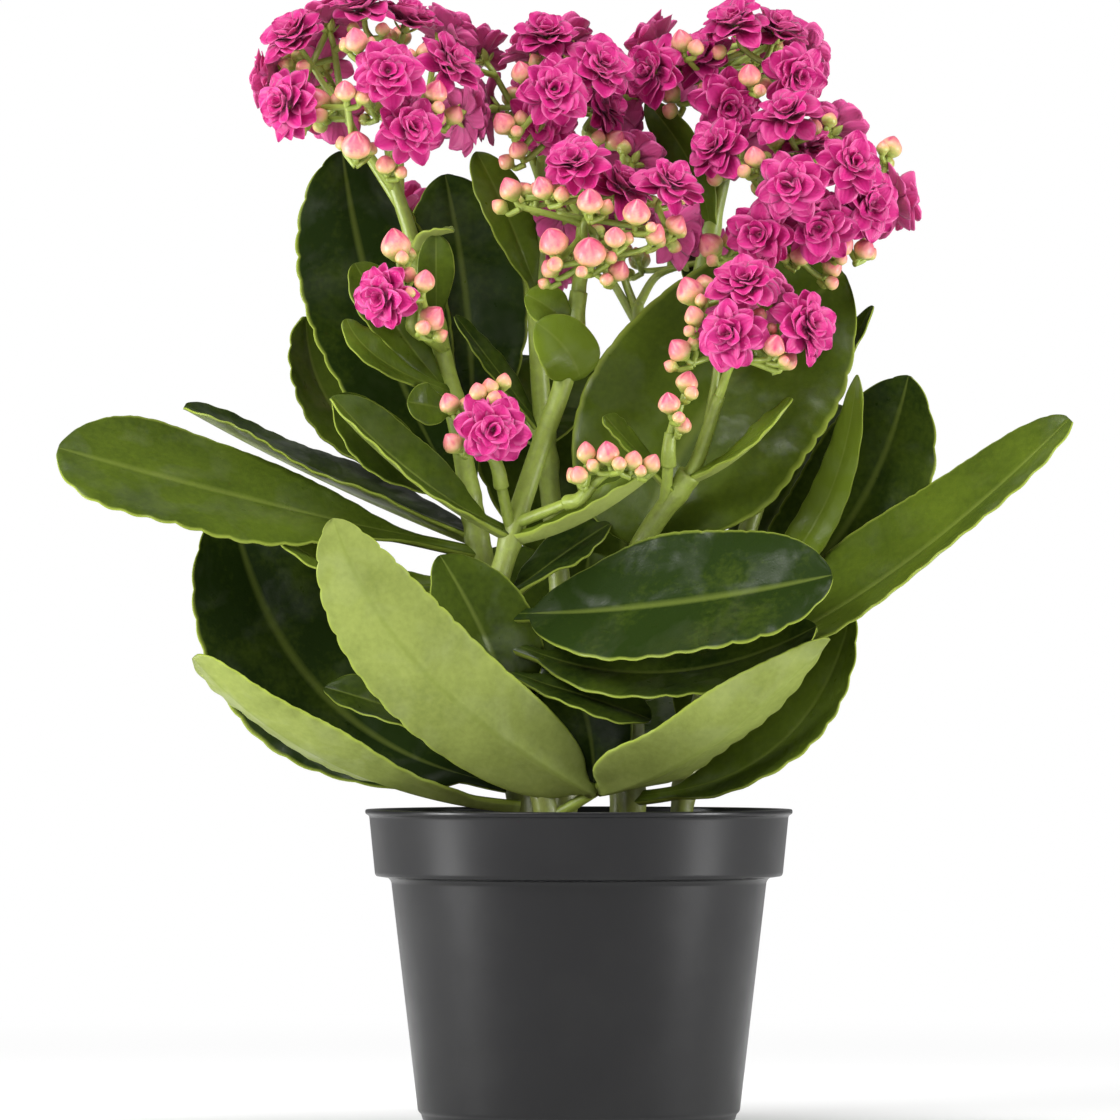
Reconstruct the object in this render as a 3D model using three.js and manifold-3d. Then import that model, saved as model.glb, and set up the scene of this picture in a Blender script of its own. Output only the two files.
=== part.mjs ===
// Potted flaming katy: a double-flowered kalanchoe in a plain black nursery pot.
// Millimetres, +Z up, the front of the plant towards -Y, the origin on the pot's axis under its base.
import * as THREE from "three";
import { mergeVertices } from "three/addons/utils/BufferGeometryUtils.js";
import Module from "manifold-3d";

const wasm = await Module();
wasm.setup();

// Driving dimensions of the pot and its soil
const POT_SIDES = 26;
const LIP_RADIUS = 60;
const LIP_TOP = 92;
const LIP_DEPTH = 1.2;
const COLLAR_TOP_RADIUS = 58.9;
const COLLAR_FOOT_RADIUS = 57.3;
const COLLAR_FOOT = 73.3;
const BODY_TOP_RADIUS = 52.7;
const BODY_FOOT_RADIUS = 45.2;
const BODY_FOOT = 7.4;
const FOOT_RADIUS = 44.2;
const FOOT_WIDTH = 3;
const FOOT_ARCH = 5;
const ARCH_HALF_ANGLE = 0.85;
const FEET = 3;
const WALL = 1.3;
const DISC_RADIUS = 24;
const CHANNEL_HEIGHT = 3;
const DRAIN_HOLES = 4;
const DRAIN_RADIUS = 4;
const DRAIN_PLACE = 33;
const SOIL_TOP = 84;
const SOIL_BUMP = 1.6;

// Driving dimensions of the plant
const GAP = 0.3;
const TRIM_GAP = 0.6;
const SIMPLIFY = [0.2, 0.16, 0.12, 0.24, 0.08, 0.04];
const MERGE_STEPS = [1000, 10000];
const STEM_SIDES = 6;
const TWIG_SIDES = 5;
const TWIG_RADII = [1.7, 1.5];
const HEAD_STALK_RADII = [2, 1.6];
const RIB_THICKNESS = 2.6;
const PETIOLE_HALF_WIDTH = 2.2;
const CRENATION = 0.085;
const LEAF_STEP_PAIR = 44;
const PETALS = 5;
const BLOOM_RADIUS = 9.8;
const BUD_SIDES = 4;
const HIDDEN_BUD_RADIUS = 3;
const PEDICEL_RADIUS = 0.8;
const ARM_RADII = [1.8, 1.5];
const BLOOM_SPACING = 0.77;
const SIZE_SPREAD = [0.94, 0.1];
const STEPS_BACK = 40;
const STEP_BACK = 1.5;
const FAR_TRIES = 30;
const BACK_ARMS = 3;
const FACING = [0.6, 0.5, 0.2];
const LOWEST_NOD = -0.3;
const SPIN_SEED = 33;

const vec = (p) => new THREE.Vector3(...p);
const mix = (a, b, t) => a.clone().lerp(b, t);

// A repeatable draw between 0 and 1 for item i of kind k
function draw(i, k) {
  const value = Math.sin(i * 12.9898 + k * 78.233) * 43758.5453;
  return value - Math.floor(value);
}

// A closed indexed mesh as a solid, with its shared vertices merged
function solidFrom(geometry) {
  const bare = geometry.clone();
  bare.deleteAttribute("normal");
  bare.deleteAttribute("uv");
  const merged = mergeVertices(bare, 1e-4);
  return new wasm.Manifold(
    new wasm.Mesh({
      numProp: 3,
      vertProperties: new Float32Array(merged.attributes.position.array),
      triVerts: new Uint32Array(merged.index.array),
    }),
  );
}

// The triangles between a ring of a points from p and a ring of b points from q. Rings of the same
// count are split into mirrored pairs, so both faces of a blade are split alike.
function strip(p, a, q, b) {
  const faces = [];
  if (a === b) {
    for (let i = 0; i < a; i++) {
      const j = (i + 1) % a;
      if (i % 2 === 0) faces.push([p + i, p + j, q + j], [p + i, q + j, q + i]);
      else faces.push([p + i, p + j, q + i], [p + j, q + j, q + i]);
    }
    return faces;
  }
  if (a > b) return strip(q, b, p, a).map(([i, j, k]) => [i, k, j]);
  for (let i = 0; i < b; i++) {
    const [near, next] = [Math.floor((i * a) / b), Math.floor(((i + 1) * a) / b)];
    faces.push([p + near, q + ((i + 1) % b), q + i]);
    if (next !== near) faces.push([p + near, p + (next % a), q + ((i + 1) % b)]);
  }
  return faces;
}

// The solid of rings of points: a strip between neighbouring rings, and a flat or pointed end
function loft(rings) {
  const points = [];
  const starts = rings.map((ring) => points.push(...ring) - ring.length);
  const faces = [];
  for (let r = 0; r + 1 < rings.length; r++) {
    if (rings[r + 1].length === 1) {
      const after = (i) => starts[r] + ((i + 1) % rings[r].length);
      rings[r].forEach((_, i) => faces.push([starts[r] + i, after(i), starts[r + 1]]));
    } else {
      faces.push(...strip(starts[r], rings[r].length, starts[r + 1], rings[r + 1].length));
    }
  }
  for (let i = 1; i + 1 < rings[0].length; i++) faces.push([0, i + 1, i]);
  for (let i = 1, q = starts.at(-1); i + 1 < rings.at(-1).length; i++) faces.push([q, q + i, q + i + 1]);
  const places = points.flatMap((p) => p.toArray());
  const geometry = new THREE.BufferGeometry();
  geometry.setAttribute("position", new THREE.Float32BufferAttribute(places, 3));
  geometry.setIndex(faces.flat());
  const solid = solidFrom(geometry);
  if (solid.volume() > 0) return solid;
  geometry.setIndex(faces.map(([i, j, k]) => [i, k, j]).flat());
  return solidFrom(geometry);
}

// The join of several solids: its largest body, with no sealed hollow and no loose scrap
function fuse(solids) {
  const joined = wasm.Manifold.union(solids);
  const bodies = joined.decompose().filter((body) => body.volume() > 0);
  bodies.sort((a, b) => b.volume() - a.volume());
  return bodies[0];
}

// A round limb along a smooth path, whose radius runs evenly from its foot to its tip
function limb(points, footRadius, tipRadius, sides, steps, grow = 0) {
  const path = points.length > 2
    ? new THREE.CatmullRomCurve3(points, false, "centripetal")
    : new THREE.LineCurve3(points[0], points.at(-1));
  const frames = path.computeFrenetFrames(steps, false);
  const rings = frames.tangents.map((tangent, i) => {
    const t = i / steps;
    const radius = footRadius + (tipRadius - footRadius) * t + grow;
    const centre = path.getPointAt(t);
    if (i === 0) centre.addScaledVector(tangent, -grow);
    if (i === steps) centre.addScaledVector(tangent, grow);
    return Array.from({ length: sides }, (_, k) => {
      const angle = (2 * Math.PI * k) / sides;
      return centre
        .clone()
        .addScaledVector(frames.normals[i], radius * Math.cos(angle))
        .addScaledVector(frames.binormals[i], radius * Math.sin(angle));
    });
  });
  return loft(rings);
}

// Half the width of a leaf at a share t of its length: a bare stalk that widens into a blunt oval
function leafHalfWidth({ width, stalk = 0.12, heel = 0.7, belly = 1.1 }, t) {
  if (t <= stalk) return PETIOLE_HALF_WIDTH;
  const s = ((t - stalk) / (1 - stalk)) ** belly;
  const blade = (1 - Math.abs(2 * s - 1) ** 2.4) ** 0.58;
  const taper = heel + (1 - heel) * THREE.MathUtils.smoothstep(t, stalk, 0.6);
  return Math.max(PETIOLE_HALF_WIDTH, width * blade * taper);
}

// A thick crenate leaf: kite sections along a rib that bends through its middle point, with its two
// halves folded up along the rib
function leaf(spec, grow = 0) {
  const { base, via, tip, up, fold = 12 } = spec;
  const foot = vec(base);
  const end = vec(tip);
  const upward = vec(up).normalize();
  const along = end.clone().sub(vec(via)).normalize();
  const control = vec(via).multiplyScalar(2).sub(mix(foot, end, 0.5));
  const rib = new THREE.QuadraticBezierCurve3(foot, control, end);
  const rise = THREE.MathUtils.degToRad(fold);
  const steps = 2 * Math.round(2.4 + foot.distanceTo(end) / LEAF_STEP_PAIR);
  const rings = [];
  for (let i = 0; i < steps; i++) {
    const t = i / steps;
    const tangent = rib.getTangent(t);
    const side = tangent.clone().cross(upward).normalize();
    const face = side.clone().cross(tangent).normalize();
    const scallop = i > 1 && i % 2 === 0 ? 1 - CRENATION : 1;
    const half = leafHalfWidth(spec, t) * scallop + grow;
    const thick = (RIB_THICKNESS / 2) * (1 - 0.35 * t) + grow;
    const centre = rib.getPoint(t);
    const edge = (sign) => centre
      .clone()
      .addScaledVector(side, sign * half * Math.cos(rise))
      .addScaledVector(face, half * Math.sin(rise));
    rings.push([
      edge(1),
      centre.clone().addScaledVector(face, thick),
      edge(-1),
      centre.clone().addScaledVector(face, -thick),
    ]);
  }
  rings.push([end.clone().addScaledVector(along, grow)]);
  return loft(rings);
}

// A ring of points about a centre, square to an axis, with the radii of its even and odd columns
function ring(centre, axis, helper, radii, columns, spin = 0) {
  const u = helper.clone().addScaledVector(axis, -helper.dot(axis)).normalize();
  const v = axis.clone().cross(u);
  return Array.from({ length: columns }, (_, k) => {
    const angle = spin + (2 * Math.PI * k) / columns;
    return centre
      .clone()
      .addScaledVector(u, radii[k % 2] * Math.cos(angle))
      .addScaledVector(v, radii[k % 2] * Math.sin(angle));
  });
}

// Rows of a double bloom, in shares of its radius, from its calyx up: [height, radii of the columns].
// A lower tier of petals, and an upper tier whose petals stand between the lower ones.
const BLOOM_ROWS = [
  [-0.04, [1, 0.8]],
  [0.38, [0.52, 0.78]],
];
// Rows of a closed bud: a spindle that is fullest near its foot
const BUD_ROWS = [
  [-0.3, [1, 1]],
  [0.75, [0.68, 0.68]],
];
const KINDS = {
  bloom: { rows: BLOOM_ROWS, columns: 2 * PETALS, neck: -0.42, top: 0.26 },
  bud: { rows: BUD_ROWS, columns: BUD_SIDES, neck: -1.1, top: 1.4 },
};

// A flower on its stalk, as one closed surface: route holds the stalk's points, thickest at the first
function flowerOnStalk({ kind, centre, radius, axis, spin, route }, grow = 0) {
  const { rows, columns, neck, top } = KINDS[kind];
  const helper = Math.abs(axis.z) > 0.8 ? new THREE.Vector3(0, 1, 0) : new THREE.Vector3(0, 0, 1);
  const under = centre.clone().addScaledVector(axis, neck * radius);
  const rings = route.map((point, i) => {
    const along = under.clone().sub(point).normalize();
    const thick = (route.length > 1 ? ARM_RADII[i] : PEDICEL_RADIUS) + grow;
    return ring(point.clone().addScaledVector(along, -grow), along, helper, [thick, thick], 3, spin);
  });
  const thin = PEDICEL_RADIUS + grow;
  rings.push(ring(under.clone().addScaledVector(axis, -grow), axis, helper, [thin, thin], 3, spin));
  for (const [height, radii] of rows) {
    const middle = centre.clone().addScaledVector(axis, height * radius);
    rings.push(ring(middle, axis, helper, radii.map((r) => r * radius + grow), columns, spin));
  }
  rings.push([centre.clone().addScaledVector(axis, top * radius + grow)]);
  return loft(rings);
}

// The pot: one thin shell with a collar, a raised drain channel and three low feet
function pot() {
  const profile = [
    [0, 0],
    [DISC_RADIUS, 0],
    [DISC_RADIUS + 2, CHANNEL_HEIGHT],
    [FOOT_RADIUS - FOOT_WIDTH - 1, CHANNEL_HEIGHT],
    [FOOT_RADIUS - FOOT_WIDTH, 0],
    [FOOT_RADIUS - 0.4, 0],
    [FOOT_RADIUS, BODY_FOOT - 1],
    [BODY_FOOT_RADIUS, BODY_FOOT],
    [BODY_TOP_RADIUS, COLLAR_FOOT - 0.8],
    [COLLAR_FOOT_RADIUS, COLLAR_FOOT],
    [COLLAR_TOP_RADIUS, LIP_TOP - LIP_DEPTH],
    [LIP_RADIUS, LIP_TOP],
    [COLLAR_TOP_RADIUS - WALL, LIP_TOP],
    [COLLAR_FOOT_RADIUS - WALL, COLLAR_FOOT + WALL],
    [BODY_TOP_RADIUS - WALL, COLLAR_FOOT + 0.6],
    [BODY_FOOT_RADIUS - WALL, BODY_FOOT + WALL],
    [FOOT_RADIUS - FOOT_WIDTH - 1, CHANNEL_HEIGHT + WALL + 0.6],
    [DISC_RADIUS + 1, CHANNEL_HEIGHT + WALL],
    [DISC_RADIUS - 1, WALL],
    [0, WALL],
  ];
  let shell = solidFrom(lathe(profile));
  for (let i = 0; i < FEET; i++) {
    shell = shell.subtract(footArch(-Math.PI / 2 + (2 * Math.PI * i) / FEET));
  }
  for (let i = 0; i < DRAIN_HOLES; i++) {
    const angle = (2 * Math.PI * (i + 0.5)) / DRAIN_HOLES;
    const hole = new THREE.CylinderGeometry(DRAIN_RADIUS, DRAIN_RADIUS, 12, 8).rotateX(Math.PI / 2);
    hole.translate(DRAIN_PLACE * Math.cos(angle), DRAIN_PLACE * Math.sin(angle), CHANNEL_HEIGHT);
    shell = shell.subtract(solidFrom(hole));
  }
  return shell;
}

// A closed profile of [radius, height] turned about the pot's axis
function lathe(profile) {
  const outline = profile.map(([radius, height]) => new THREE.Vector2(radius, height));
  return new THREE.LatheGeometry(outline, POT_SIDES).rotateX(Math.PI / 2);
}

// The sector that opens the foot ring between two feet
function footArch(middle) {
  const shape = new THREE.Shape();
  const [near, far] = [FOOT_RADIUS - FOOT_WIDTH - 0.6, FOOT_RADIUS + 6];
  const [from, to] = [middle - ARCH_HALF_ANGLE, middle + ARCH_HALF_ANGLE];
  shape.moveTo(near * Math.cos(from), near * Math.sin(from));
  shape.lineTo(far * Math.cos(from), far * Math.sin(from));
  shape.absarc(0, 0, far, from, to, false);
  shape.lineTo(near * Math.cos(to), near * Math.sin(to));
  shape.absarc(0, 0, near, to, from, true);
  const cut = { depth: FOOT_ARCH + 1, bevelEnabled: false, curveSegments: 6 };
  const sector = new THREE.ExtrudeGeometry(shape, cut);
  return solidFrom(sector.translate(0, 0, -1));
}

// The soil: it fills the pot's inside with a small gap, its top is crumbled, and each stem has a hole
function soil(holes) {
  const inner = WALL + GAP;
  const profile = [
    [0, inner],
    [DISC_RADIUS - 1 - GAP, inner],
    [DISC_RADIUS + 0.6, CHANNEL_HEIGHT + inner + 0.1],
    [FOOT_RADIUS - FOOT_WIDTH - 1.2, CHANNEL_HEIGHT + inner + 0.7],
    [BODY_FOOT_RADIUS - inner - 0.1, BODY_FOOT + inner + 0.4],
    [BODY_TOP_RADIUS - inner, COLLAR_FOOT + 1],
    [COLLAR_FOOT_RADIUS - inner - 0.1, COLLAR_FOOT + inner + 0.4],
    [COLLAR_FOOT_RADIUS - inner + 0.5, SOIL_TOP],
    [38, SOIL_TOP],
    [19, SOIL_TOP],
    [0, SOIL_TOP],
  ];
  const geometry = lathe(profile);
  const place = geometry.attributes.position;
  for (let i = 0; i < place.count; i++) {
    const top = place.getZ(i) > SOIL_TOP - 0.01;
    const [x, y] = [place.getX(i), place.getY(i)];
    const middle = Math.hypot(x, y) < COLLAR_FOOT_RADIUS - 4;
    const swell = SOIL_BUMP * Math.sin(0.31 * x + 1) * Math.cos(0.27 * y);
    const ripple = 0.5 * SOIL_BUMP * Math.sin(0.7 * x - 0.5 * y);
    if (top && middle) place.setZ(i, SOIL_TOP + swell + ripple);
  }
  return solidFrom(geometry).subtract(wasm.Manifold.union(holes));
}

// The leafy stems. Each has its path from the bottom of its soil hole up, its radius at the foot and
// at the tip, side twigs that end under a spray, and its leaves from base through a middle point to tip.
const STEMS = {
  leafy_stem_front: {
    path: [[-9, -13, 54], [-9, -13, 90], [-16, -12, 112], [-23, -12, 132], [-24, -12, 148], [-19, -11, 168],
      [-11, -10, 193], [-4, -10, 213], [0, -9, 237]],
    radii: [3.5, 2.5],
    twigs: [[[-19, -11, 170], [-22, -20, 184]], [[-18, -11, 172], [-2, -24, 178]],
      [[-9, -13, 89], [6, -14, 98]]],
    leaves: [
      { base: [-22, -12, 146], via: [24, -34, 149], tip: [70, -44, 157], width: 23,
        up: [0, -0.82, 0.57], fold: 8, stalk: 0.1, heel: 0.85, belly: 1 },
      { base: [-22, -12, 139], via: [23, -27, 130], tip: [66, -35, 143], width: 15,
        up: [0, -0.62, 0.78], fold: 8, heel: 0.9 },
      { base: [-21, -13, 130], via: [0, -22, 124], tip: [20, -27, 117], width: 9, up: [0.2, -0.5, 0.8] },
      { base: [4, -15, 97], via: [-43, -36, 131], tip: [-68, -44, 173], width: 16,
        up: [-0.25, 0.85, 0.45], stalk: 0.03, heel: 1, belly: 0.8 },
      { base: [4, -13, 98], via: [2, -14, 118], tip: [-6, -13, 138], width: 13,
        up: [0.05, -1, 0.1], fold: 8, stalk: 0.05, heel: 0.9, belly: 1 },
      { base: [6, -15, 98], via: [34, -35, 110], tip: [69, -44, 140], width: 15,
        up: [-0.3, 0.6, 0.75], fold: 18, stalk: 0.03, heel: 1, belly: 0.75 },
      { base: [-20, -11, 151], via: [-6, -5, 162], tip: [9, -3, 172], width: 10, up: [-0.5, -0.5, 0.7] },
      { base: [-20, -12, 169], via: [-46, -22, 185], tip: [-69, -24, 207], width: 12,
        up: [0.45, -0.55, 0.7], fold: 25 },
      { base: [-18, -12, 168], via: [2, -22, 174], tip: [22, -26, 187], width: 6,
        up: [-0.3, -0.3, 0.9], fold: 35 },
      { base: [0, -10, 213], via: [-4, -16, 221], tip: [-12, -18, 228], width: 8.5,
        up: [0, -0.95, 0.3], fold: 5, stalk: 0.02, heel: 1, belly: 0.8 },
      { base: [-2, -10, 227], via: [-8, -14, 232], tip: [-15, -15, 236], width: 6,
        up: [0, -0.9, 0.4], heel: 1 },
    ],
  },
  leafy_stem_right: {
    path: [[15, 0, 54], [15, 0, 90], [15, -2, 130], [16, -6, 162], [31, -14, 186]],
    radii: [3.8, 2.8],
    twigs: [[[24, -11, 177], [25, -20, 190]]],
    leaves: [
      { base: [16, -2, 95], via: [56, -15, 110], tip: [76, -20, 147], width: 14, up: [-0.5, -0.6, 0.6] },
      { base: [17, -4, 124], via: [76, -16, 150], tip: [137, -22, 201], width: 22,
        up: [-0.35, -0.5, 0.85], fold: 14 },
      { base: [17, -3, 134], via: [67, 10, 161], tip: [93, 4, 214], width: 20,
        up: [-0.3, -0.95, 0.2], fold: 10, belly: 1.4 },
      { base: [17, -4, 142], via: [60, -2, 163], tip: [78, -6, 214], width: 6,
        up: [-0.5, -0.85, 0.1], fold: 5 },
      { base: [17, -5, 162], via: [36, 5, 204], tip: [75, 8, 243], width: 34,
        up: [-0.2, -0.95, 0.25], fold: 6, stalk: 0.04, heel: 0.95, belly: 0.95 },
      { base: [27, -13, 181], via: [14, -18, 194], tip: [7, -20, 202], width: 5, up: [0.5, -0.5, 0.7] },
      { base: [31, -14, 185], via: [46, -22, 193], tip: [59, -24, 207], width: 6,
        up: [-0.4, -0.3, 0.85] },
    ],
  },
  leafy_stem_left: {
    path: [[-16, 2, 54], [-16, 2, 90], [-21, 4, 130], [-29, 4, 170], [-35, 2, 205], [-40, 0, 227],
      [-47, -2, 252]],
    radii: [3.7, 2.2],
    twigs: [[[-38, 0, 221], [-45, -12, 226]]],
    leaves: [
      { base: [-17, 2, 98], via: [-71, 12, 123], tip: [-98, 6, 178], width: 25,
        up: [0.25, -0.93, 0.25], fold: 10 },
      { base: [-17, -1, 108], via: [-24, -17, 134], tip: [-39, -21, 163], width: 16,
        up: [0.25, -0.85, 0.4], stalk: 0.06, heel: 0.95, belly: 1 },
      { base: [-18, 1, 106], via: [-46, -18, 118], tip: [-71, -22, 126], width: 9,
        up: [0.3, -0.6, 0.75] },
      { base: [-17, -1, 93], via: [-68, -16, 106], tip: [-107, -26, 135], width: 15,
        up: [0.3, 0.3, 0.9] },
      { base: [-28, 3, 164], via: [-90, -6, 178], tip: [-146, -10, 193], width: 25,
        up: [0.2, -0.55, 0.8], fold: 5, heel: 0.6, belly: 1.6 },
      { base: [-27, 2, 156], via: [-58, -8, 156], tip: [-86, -12, 170], width: 10,
        up: [0.2, -0.35, 0.9] },
      { base: [-29, 5, 168], via: [-72, 20, 186], tip: [-112, 24, 206], width: 18,
        up: [0.35, -0.2, 0.92], fold: 10, stalk: 0.03, heel: 1, belly: 1 },
      { base: [-30, 6, 175], via: [-54, 12, 222], tip: [-67, 14, 278], width: 21,
        up: [0.25, -0.92, 0.3], fold: 8 },
      { base: [-31, 6, 182], via: [-31, 22, 226], tip: [-38, 25, 272], width: 17.5,
        up: [0, -1, 0.1], fold: 6 },
      { base: [-30, 8, 178], via: [-66, 32, 200], tip: [-78, 36, 232], width: 12, up: [0.5, -0.8, 0.3] },
      { base: [-31, 2, 180], via: [-52, -8, 190], tip: [-68, -12, 208], width: 11,
        up: [0.3, -0.75, 0.6] },
      { base: [-36, 1, 207], via: [-52, -6, 228], tip: [-63, -8, 245], width: 9, up: [0.4, -0.8, 0.45] },
      { base: [-37, -1, 209], via: [-56, -16, 218], tip: [-65, -18, 229], width: 5,
        up: [0.3, -0.8, 0.5] },
      { base: [-36, -1, 204], via: [-42, -10, 205], tip: [-48, -14, 206], width: 6,
        up: [0.2, -0.9, 0.3] },
      { base: [-46, -2, 249], via: [-41, -8, 253], tip: [-35, -12, 254], width: 4, up: [0.2, -0.3, 0.9] },
      { base: [-40, -1, 228], via: [-40, -8, 242], tip: [-40, -10, 253], width: 5, up: [0, -1, 0.2] },
    ],
    hidden: [[97, 100, 58, 20, 1.2], [118, 138, 70, 22, 0.6]],
  },
  leafy_stem_back: {
    path: [[-4, 22, 54], [-4, 22, 90], [-5, 20, 150], [-10, 13, 200], [-12, 9, 236], [-11, 8, 262]],
    radii: [3.6, 2.2],
    twigs: [],
    leaves: [
      { base: [-12, 8, 236], via: [-19, 2, 256], tip: [-29, 3, 277], width: 8, up: [0.5, -0.8, 0.3] },
      { base: [-10, 13, 198], via: [-22, 10, 214], tip: [-35, 8, 231], width: 4, up: [0.4, -0.6, 0.6] },
    ],
    hidden: [[95, 70, 58, 21, 1.2], [104, 128, 74, 22, 0.45], [150, 100, 62, 24, 1.15],
      [190, 100, 58, 18, 0.55]],
  },
  leafy_stem_top_right: {
    path: [[12, 34, 54], [12, 34, 90], [20, 36, 160], [32, 34, 230], [42, 24, 276]],
    radii: [3.4, 2.2],
    twigs: [],
    leaves: [
      { base: [38, 29, 256], via: [32, 18, 274], tip: [19, 12, 292], width: 6, up: [-0.4, -0.9, 0.1] },
    ],
    hidden: [[98, 60, 66, 21, 0.5], [122, 98, 62, 22, 1.1], [180, 62, 62, 20, 0.9],
      [236, 70, 40, 12, 0.5]],
  },
  leafy_stem_back_right: {
    path: [[29, 18, 54], [29, 18, 90], [42, 24, 150], [56, 24, 200], [60, 18, 238]],
    radii: [3.4, 2.2],
    twigs: [],
    leaves: [
      { base: [56, 23, 203], via: [70, 14, 214], tip: [83, 10, 234], width: 6, up: [-0.5, -0.6, 0.6] },
      { base: [59, 20, 226], via: [68, 16, 231], tip: [77, 14, 238], width: 5, up: [-0.3, -0.6, 0.7] },
    ],
    hidden: [[98, 48, 62, 20, 1], [112, 30, 52, 17, 0.45], [150, 40, 64, 21, 0.9],
      [200, 85, 46, 16, 0.55]],
  },
};

// The flower heads. Each rises from its foot to its own dome of blooms and buds, and an arm carries
// each cluster. Front places are [across, height] on the dome; a rule adds the same kinds behind.
const HEADS = {
  flower_head_top_left: {
    under: [-44, -1, 240], foot: [-47, -2, 252], centre: [-60, -3, 292], reach: [30, 26, 26], arms: 5,
    blooms: [[-61, 317], [-71, 314], [-48, 314], [-37, 310], [-80, 308], [-53, 297], [-86, 298],
      [-73, 302], [-81, 289], [-47, 282], [-36, 300]],
    buds: [[-62, 306, 3.2], [-73, 290, 3.4], [-65, 292, 2.8], [-43, 304, 2.6], [-40, 292, 3.1],
      [-35, 286, 2.6], [-62, 277, 3.9], [-54, 272, 2.6]],
    hidden: [3, 3],
  },
  flower_head_top_centre: {
    under: [-12, 9, 250], foot: [-11, 8, 262], centre: [-9, 9, 292], reach: [25, 22, 21], arms: 4,
    blooms: [[-9, 309], [-13, 306], [-28, 306], [-3, 309], [6, 300], [-26, 290], [7, 290],
      [-7, 293], [-10, 285]],
    buds: [[-16, 298, 2.8], [0, 300, 2.6], [-21, 284, 3], [-17, 277, 2.6], [10, 280, 2.8]],
    hidden: [2, 2],
  },
  flower_head_centre: {
    under: [-1, -10, 226], foot: [0, -9, 237], centre: [6, -13, 258], reach: [26, 20, 20], arms: 5,
    blooms: [[25, 266], [12, 266], [-1, 272], [16, 276]],
    buds: [[-19, 265, 3], [-10, 265, 3], [3, 261, 3.4], [16, 258, 3.6], [21, 252, 2.8], [27, 255, 2.8],
      [-7, 250, 3.8], [3, 247, 4.2], [10, 251, 2.8], [-8, 243, 2.6], [11, 242, 2.8]],
    hidden: [2, 2],
  },
  flower_head_top_right: {
    under: [40, 26, 266], foot: [42, 24, 276], centre: [45, 15, 302], reach: [27, 18, 15], arms: 4,
    blooms: [[44, 313], [56, 312], [35, 304], [21, 300], [64, 306], [61, 298], [51, 304], [42, 290]],
    buds: [[29, 308, 2.8], [39, 294, 2.8], [48, 298, 3], [26, 294, 2.8]],
    hidden: [2, 2],
  },
  flower_head_right: {
    under: [59, 20, 226], foot: [60, 18, 238], centre: [62, -2, 268], reach: [30, 22, 23], arms: 5,
    blooms: [[51, 253], [59, 266], [76, 272], [81, 261], [89, 263], [67, 255], [58, 286],
      [64, 278], [39, 277]],
    buds: [[49, 274, 2.8], [55, 280, 2.8], [37, 250, 3.4], [62, 247, 2.8], [74, 250, 2.8], [80, 249, 2.8],
      [71, 244, 2.8]],
    hidden: [3, 2],
  },
  flower_head_lower_right: {
    under: [26, -12, 178], foot: [31, -14, 186], centre: [47, -22, 229], reach: [19, 16, 14],
    arms: 2,
    blooms: [[42, 224], [63, 227], [46, 238], [53, 235]],
    buds: [[31, 236, 3.6], [32, 229, 2.6], [28, 220, 3.1], [54, 221, 3.1], [58, 217, 2.6]],
    hidden: [1, 1],
  },
  flower_spray_left: {
    under: [-41, -6, 223], foot: [-45, -12, 226], centre: [-47, -19, 238], reach: [9, 8, 12], arms: 2,
    blooms: [[-54, 235]],
    buds: [[-51, 249, 3.9], [-43, 239, 2.8], [-41, 229, 3.4]],
    hidden: [0, 0],
  },
  flower_spray_lower_left: {
    under: [-21, -16, 178], foot: [-22, -20, 184], centre: [-27, -25, 200], reach: [10, 8, 11], arms: 2,
    blooms: [[-24, 198]],
    buds: [[-36, 205, 2.8], [-35, 194, 2.8], [-28, 208, 2.4], [-21, 211, 2.2]],
    hidden: [0, 0],
  },
  bud_spray_front: {
    under: [-6, -20, 177], foot: [-2, -24, 178], centre: [9, -29, 187], reach: [13, 7, 6], arms: 2,
    blooms: [],
    buds: [[8, 191, 3.1], [15, 189, 2.5], [20, 188, 2.4], [2, 191, 2.6], [0, 185, 2.4]],
    hidden: [0, 0],
  },
  bud_spray_right: {
    under: [25, -18, 187], foot: [25, -20, 190], centre: [26, -25, 204], reach: [6, 5, 8], arms: 1,
    blooms: [],
    buds: [[30, 211, 2.9], [25, 205, 2.9], [29, 199, 2.2]],
    hidden: [0, 0],
  },
};

// Whole heads of the far side, which the front doesn't show
const BACK_HEADS = {
  flower_head_back_left: {
    stem: "leafy_stem_back", from: 196, foot: [-30, 34, 222], centre: [-36, 40, 250],
    reach: [22, 18, 18], blooms: 5, buds: 5,
  },
  flower_head_back_right: {
    stem: "leafy_stem_top_right", from: 196, foot: [18, 44, 222], centre: [16, 48, 250],
    reach: [24, 18, 18], blooms: 5, buds: 5,
  },
};

// Finished pieces, so that a later one can be kept clear of them
const settled = [];

// Whether two boxes share any room
function boxesMeet(a, b) {
  return [0, 1, 2].every((k) => a.min[k] < b.max[k] && b.min[k] < a.max[k]);
}

// Whether every edge of a solid borders two faces, once near places count as one
function isTight(solid) {
  const { vertProperties, triVerts, numProp } = solid.getMesh();
  return MERGE_STEPS.every((perMillimetre) => {
    const snap = (place) => Math.trunc(place * perMillimetre + 0.5);
    const key = (v) => [0, 1, 2].map((k) => snap(vertProperties[v * numProp + k])).join();
    const edges = new Map();
    for (let i = 0; i < triVerts.length; i += 3) {
      const corners = [0, 1, 2].map((k) => key(triVerts[i + k]));
      if (new Set(corners).size < 3) continue;
      corners.forEach((corner, k) => {
        const edge = [corner, corners[(k + 1) % 3]].sort().join("|");
        edges.set(edge, (edges.get(edge) ?? 0) + 1);
      });
    }
    return [...edges.values()].every((count) => count === 2);
  });
}

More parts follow.
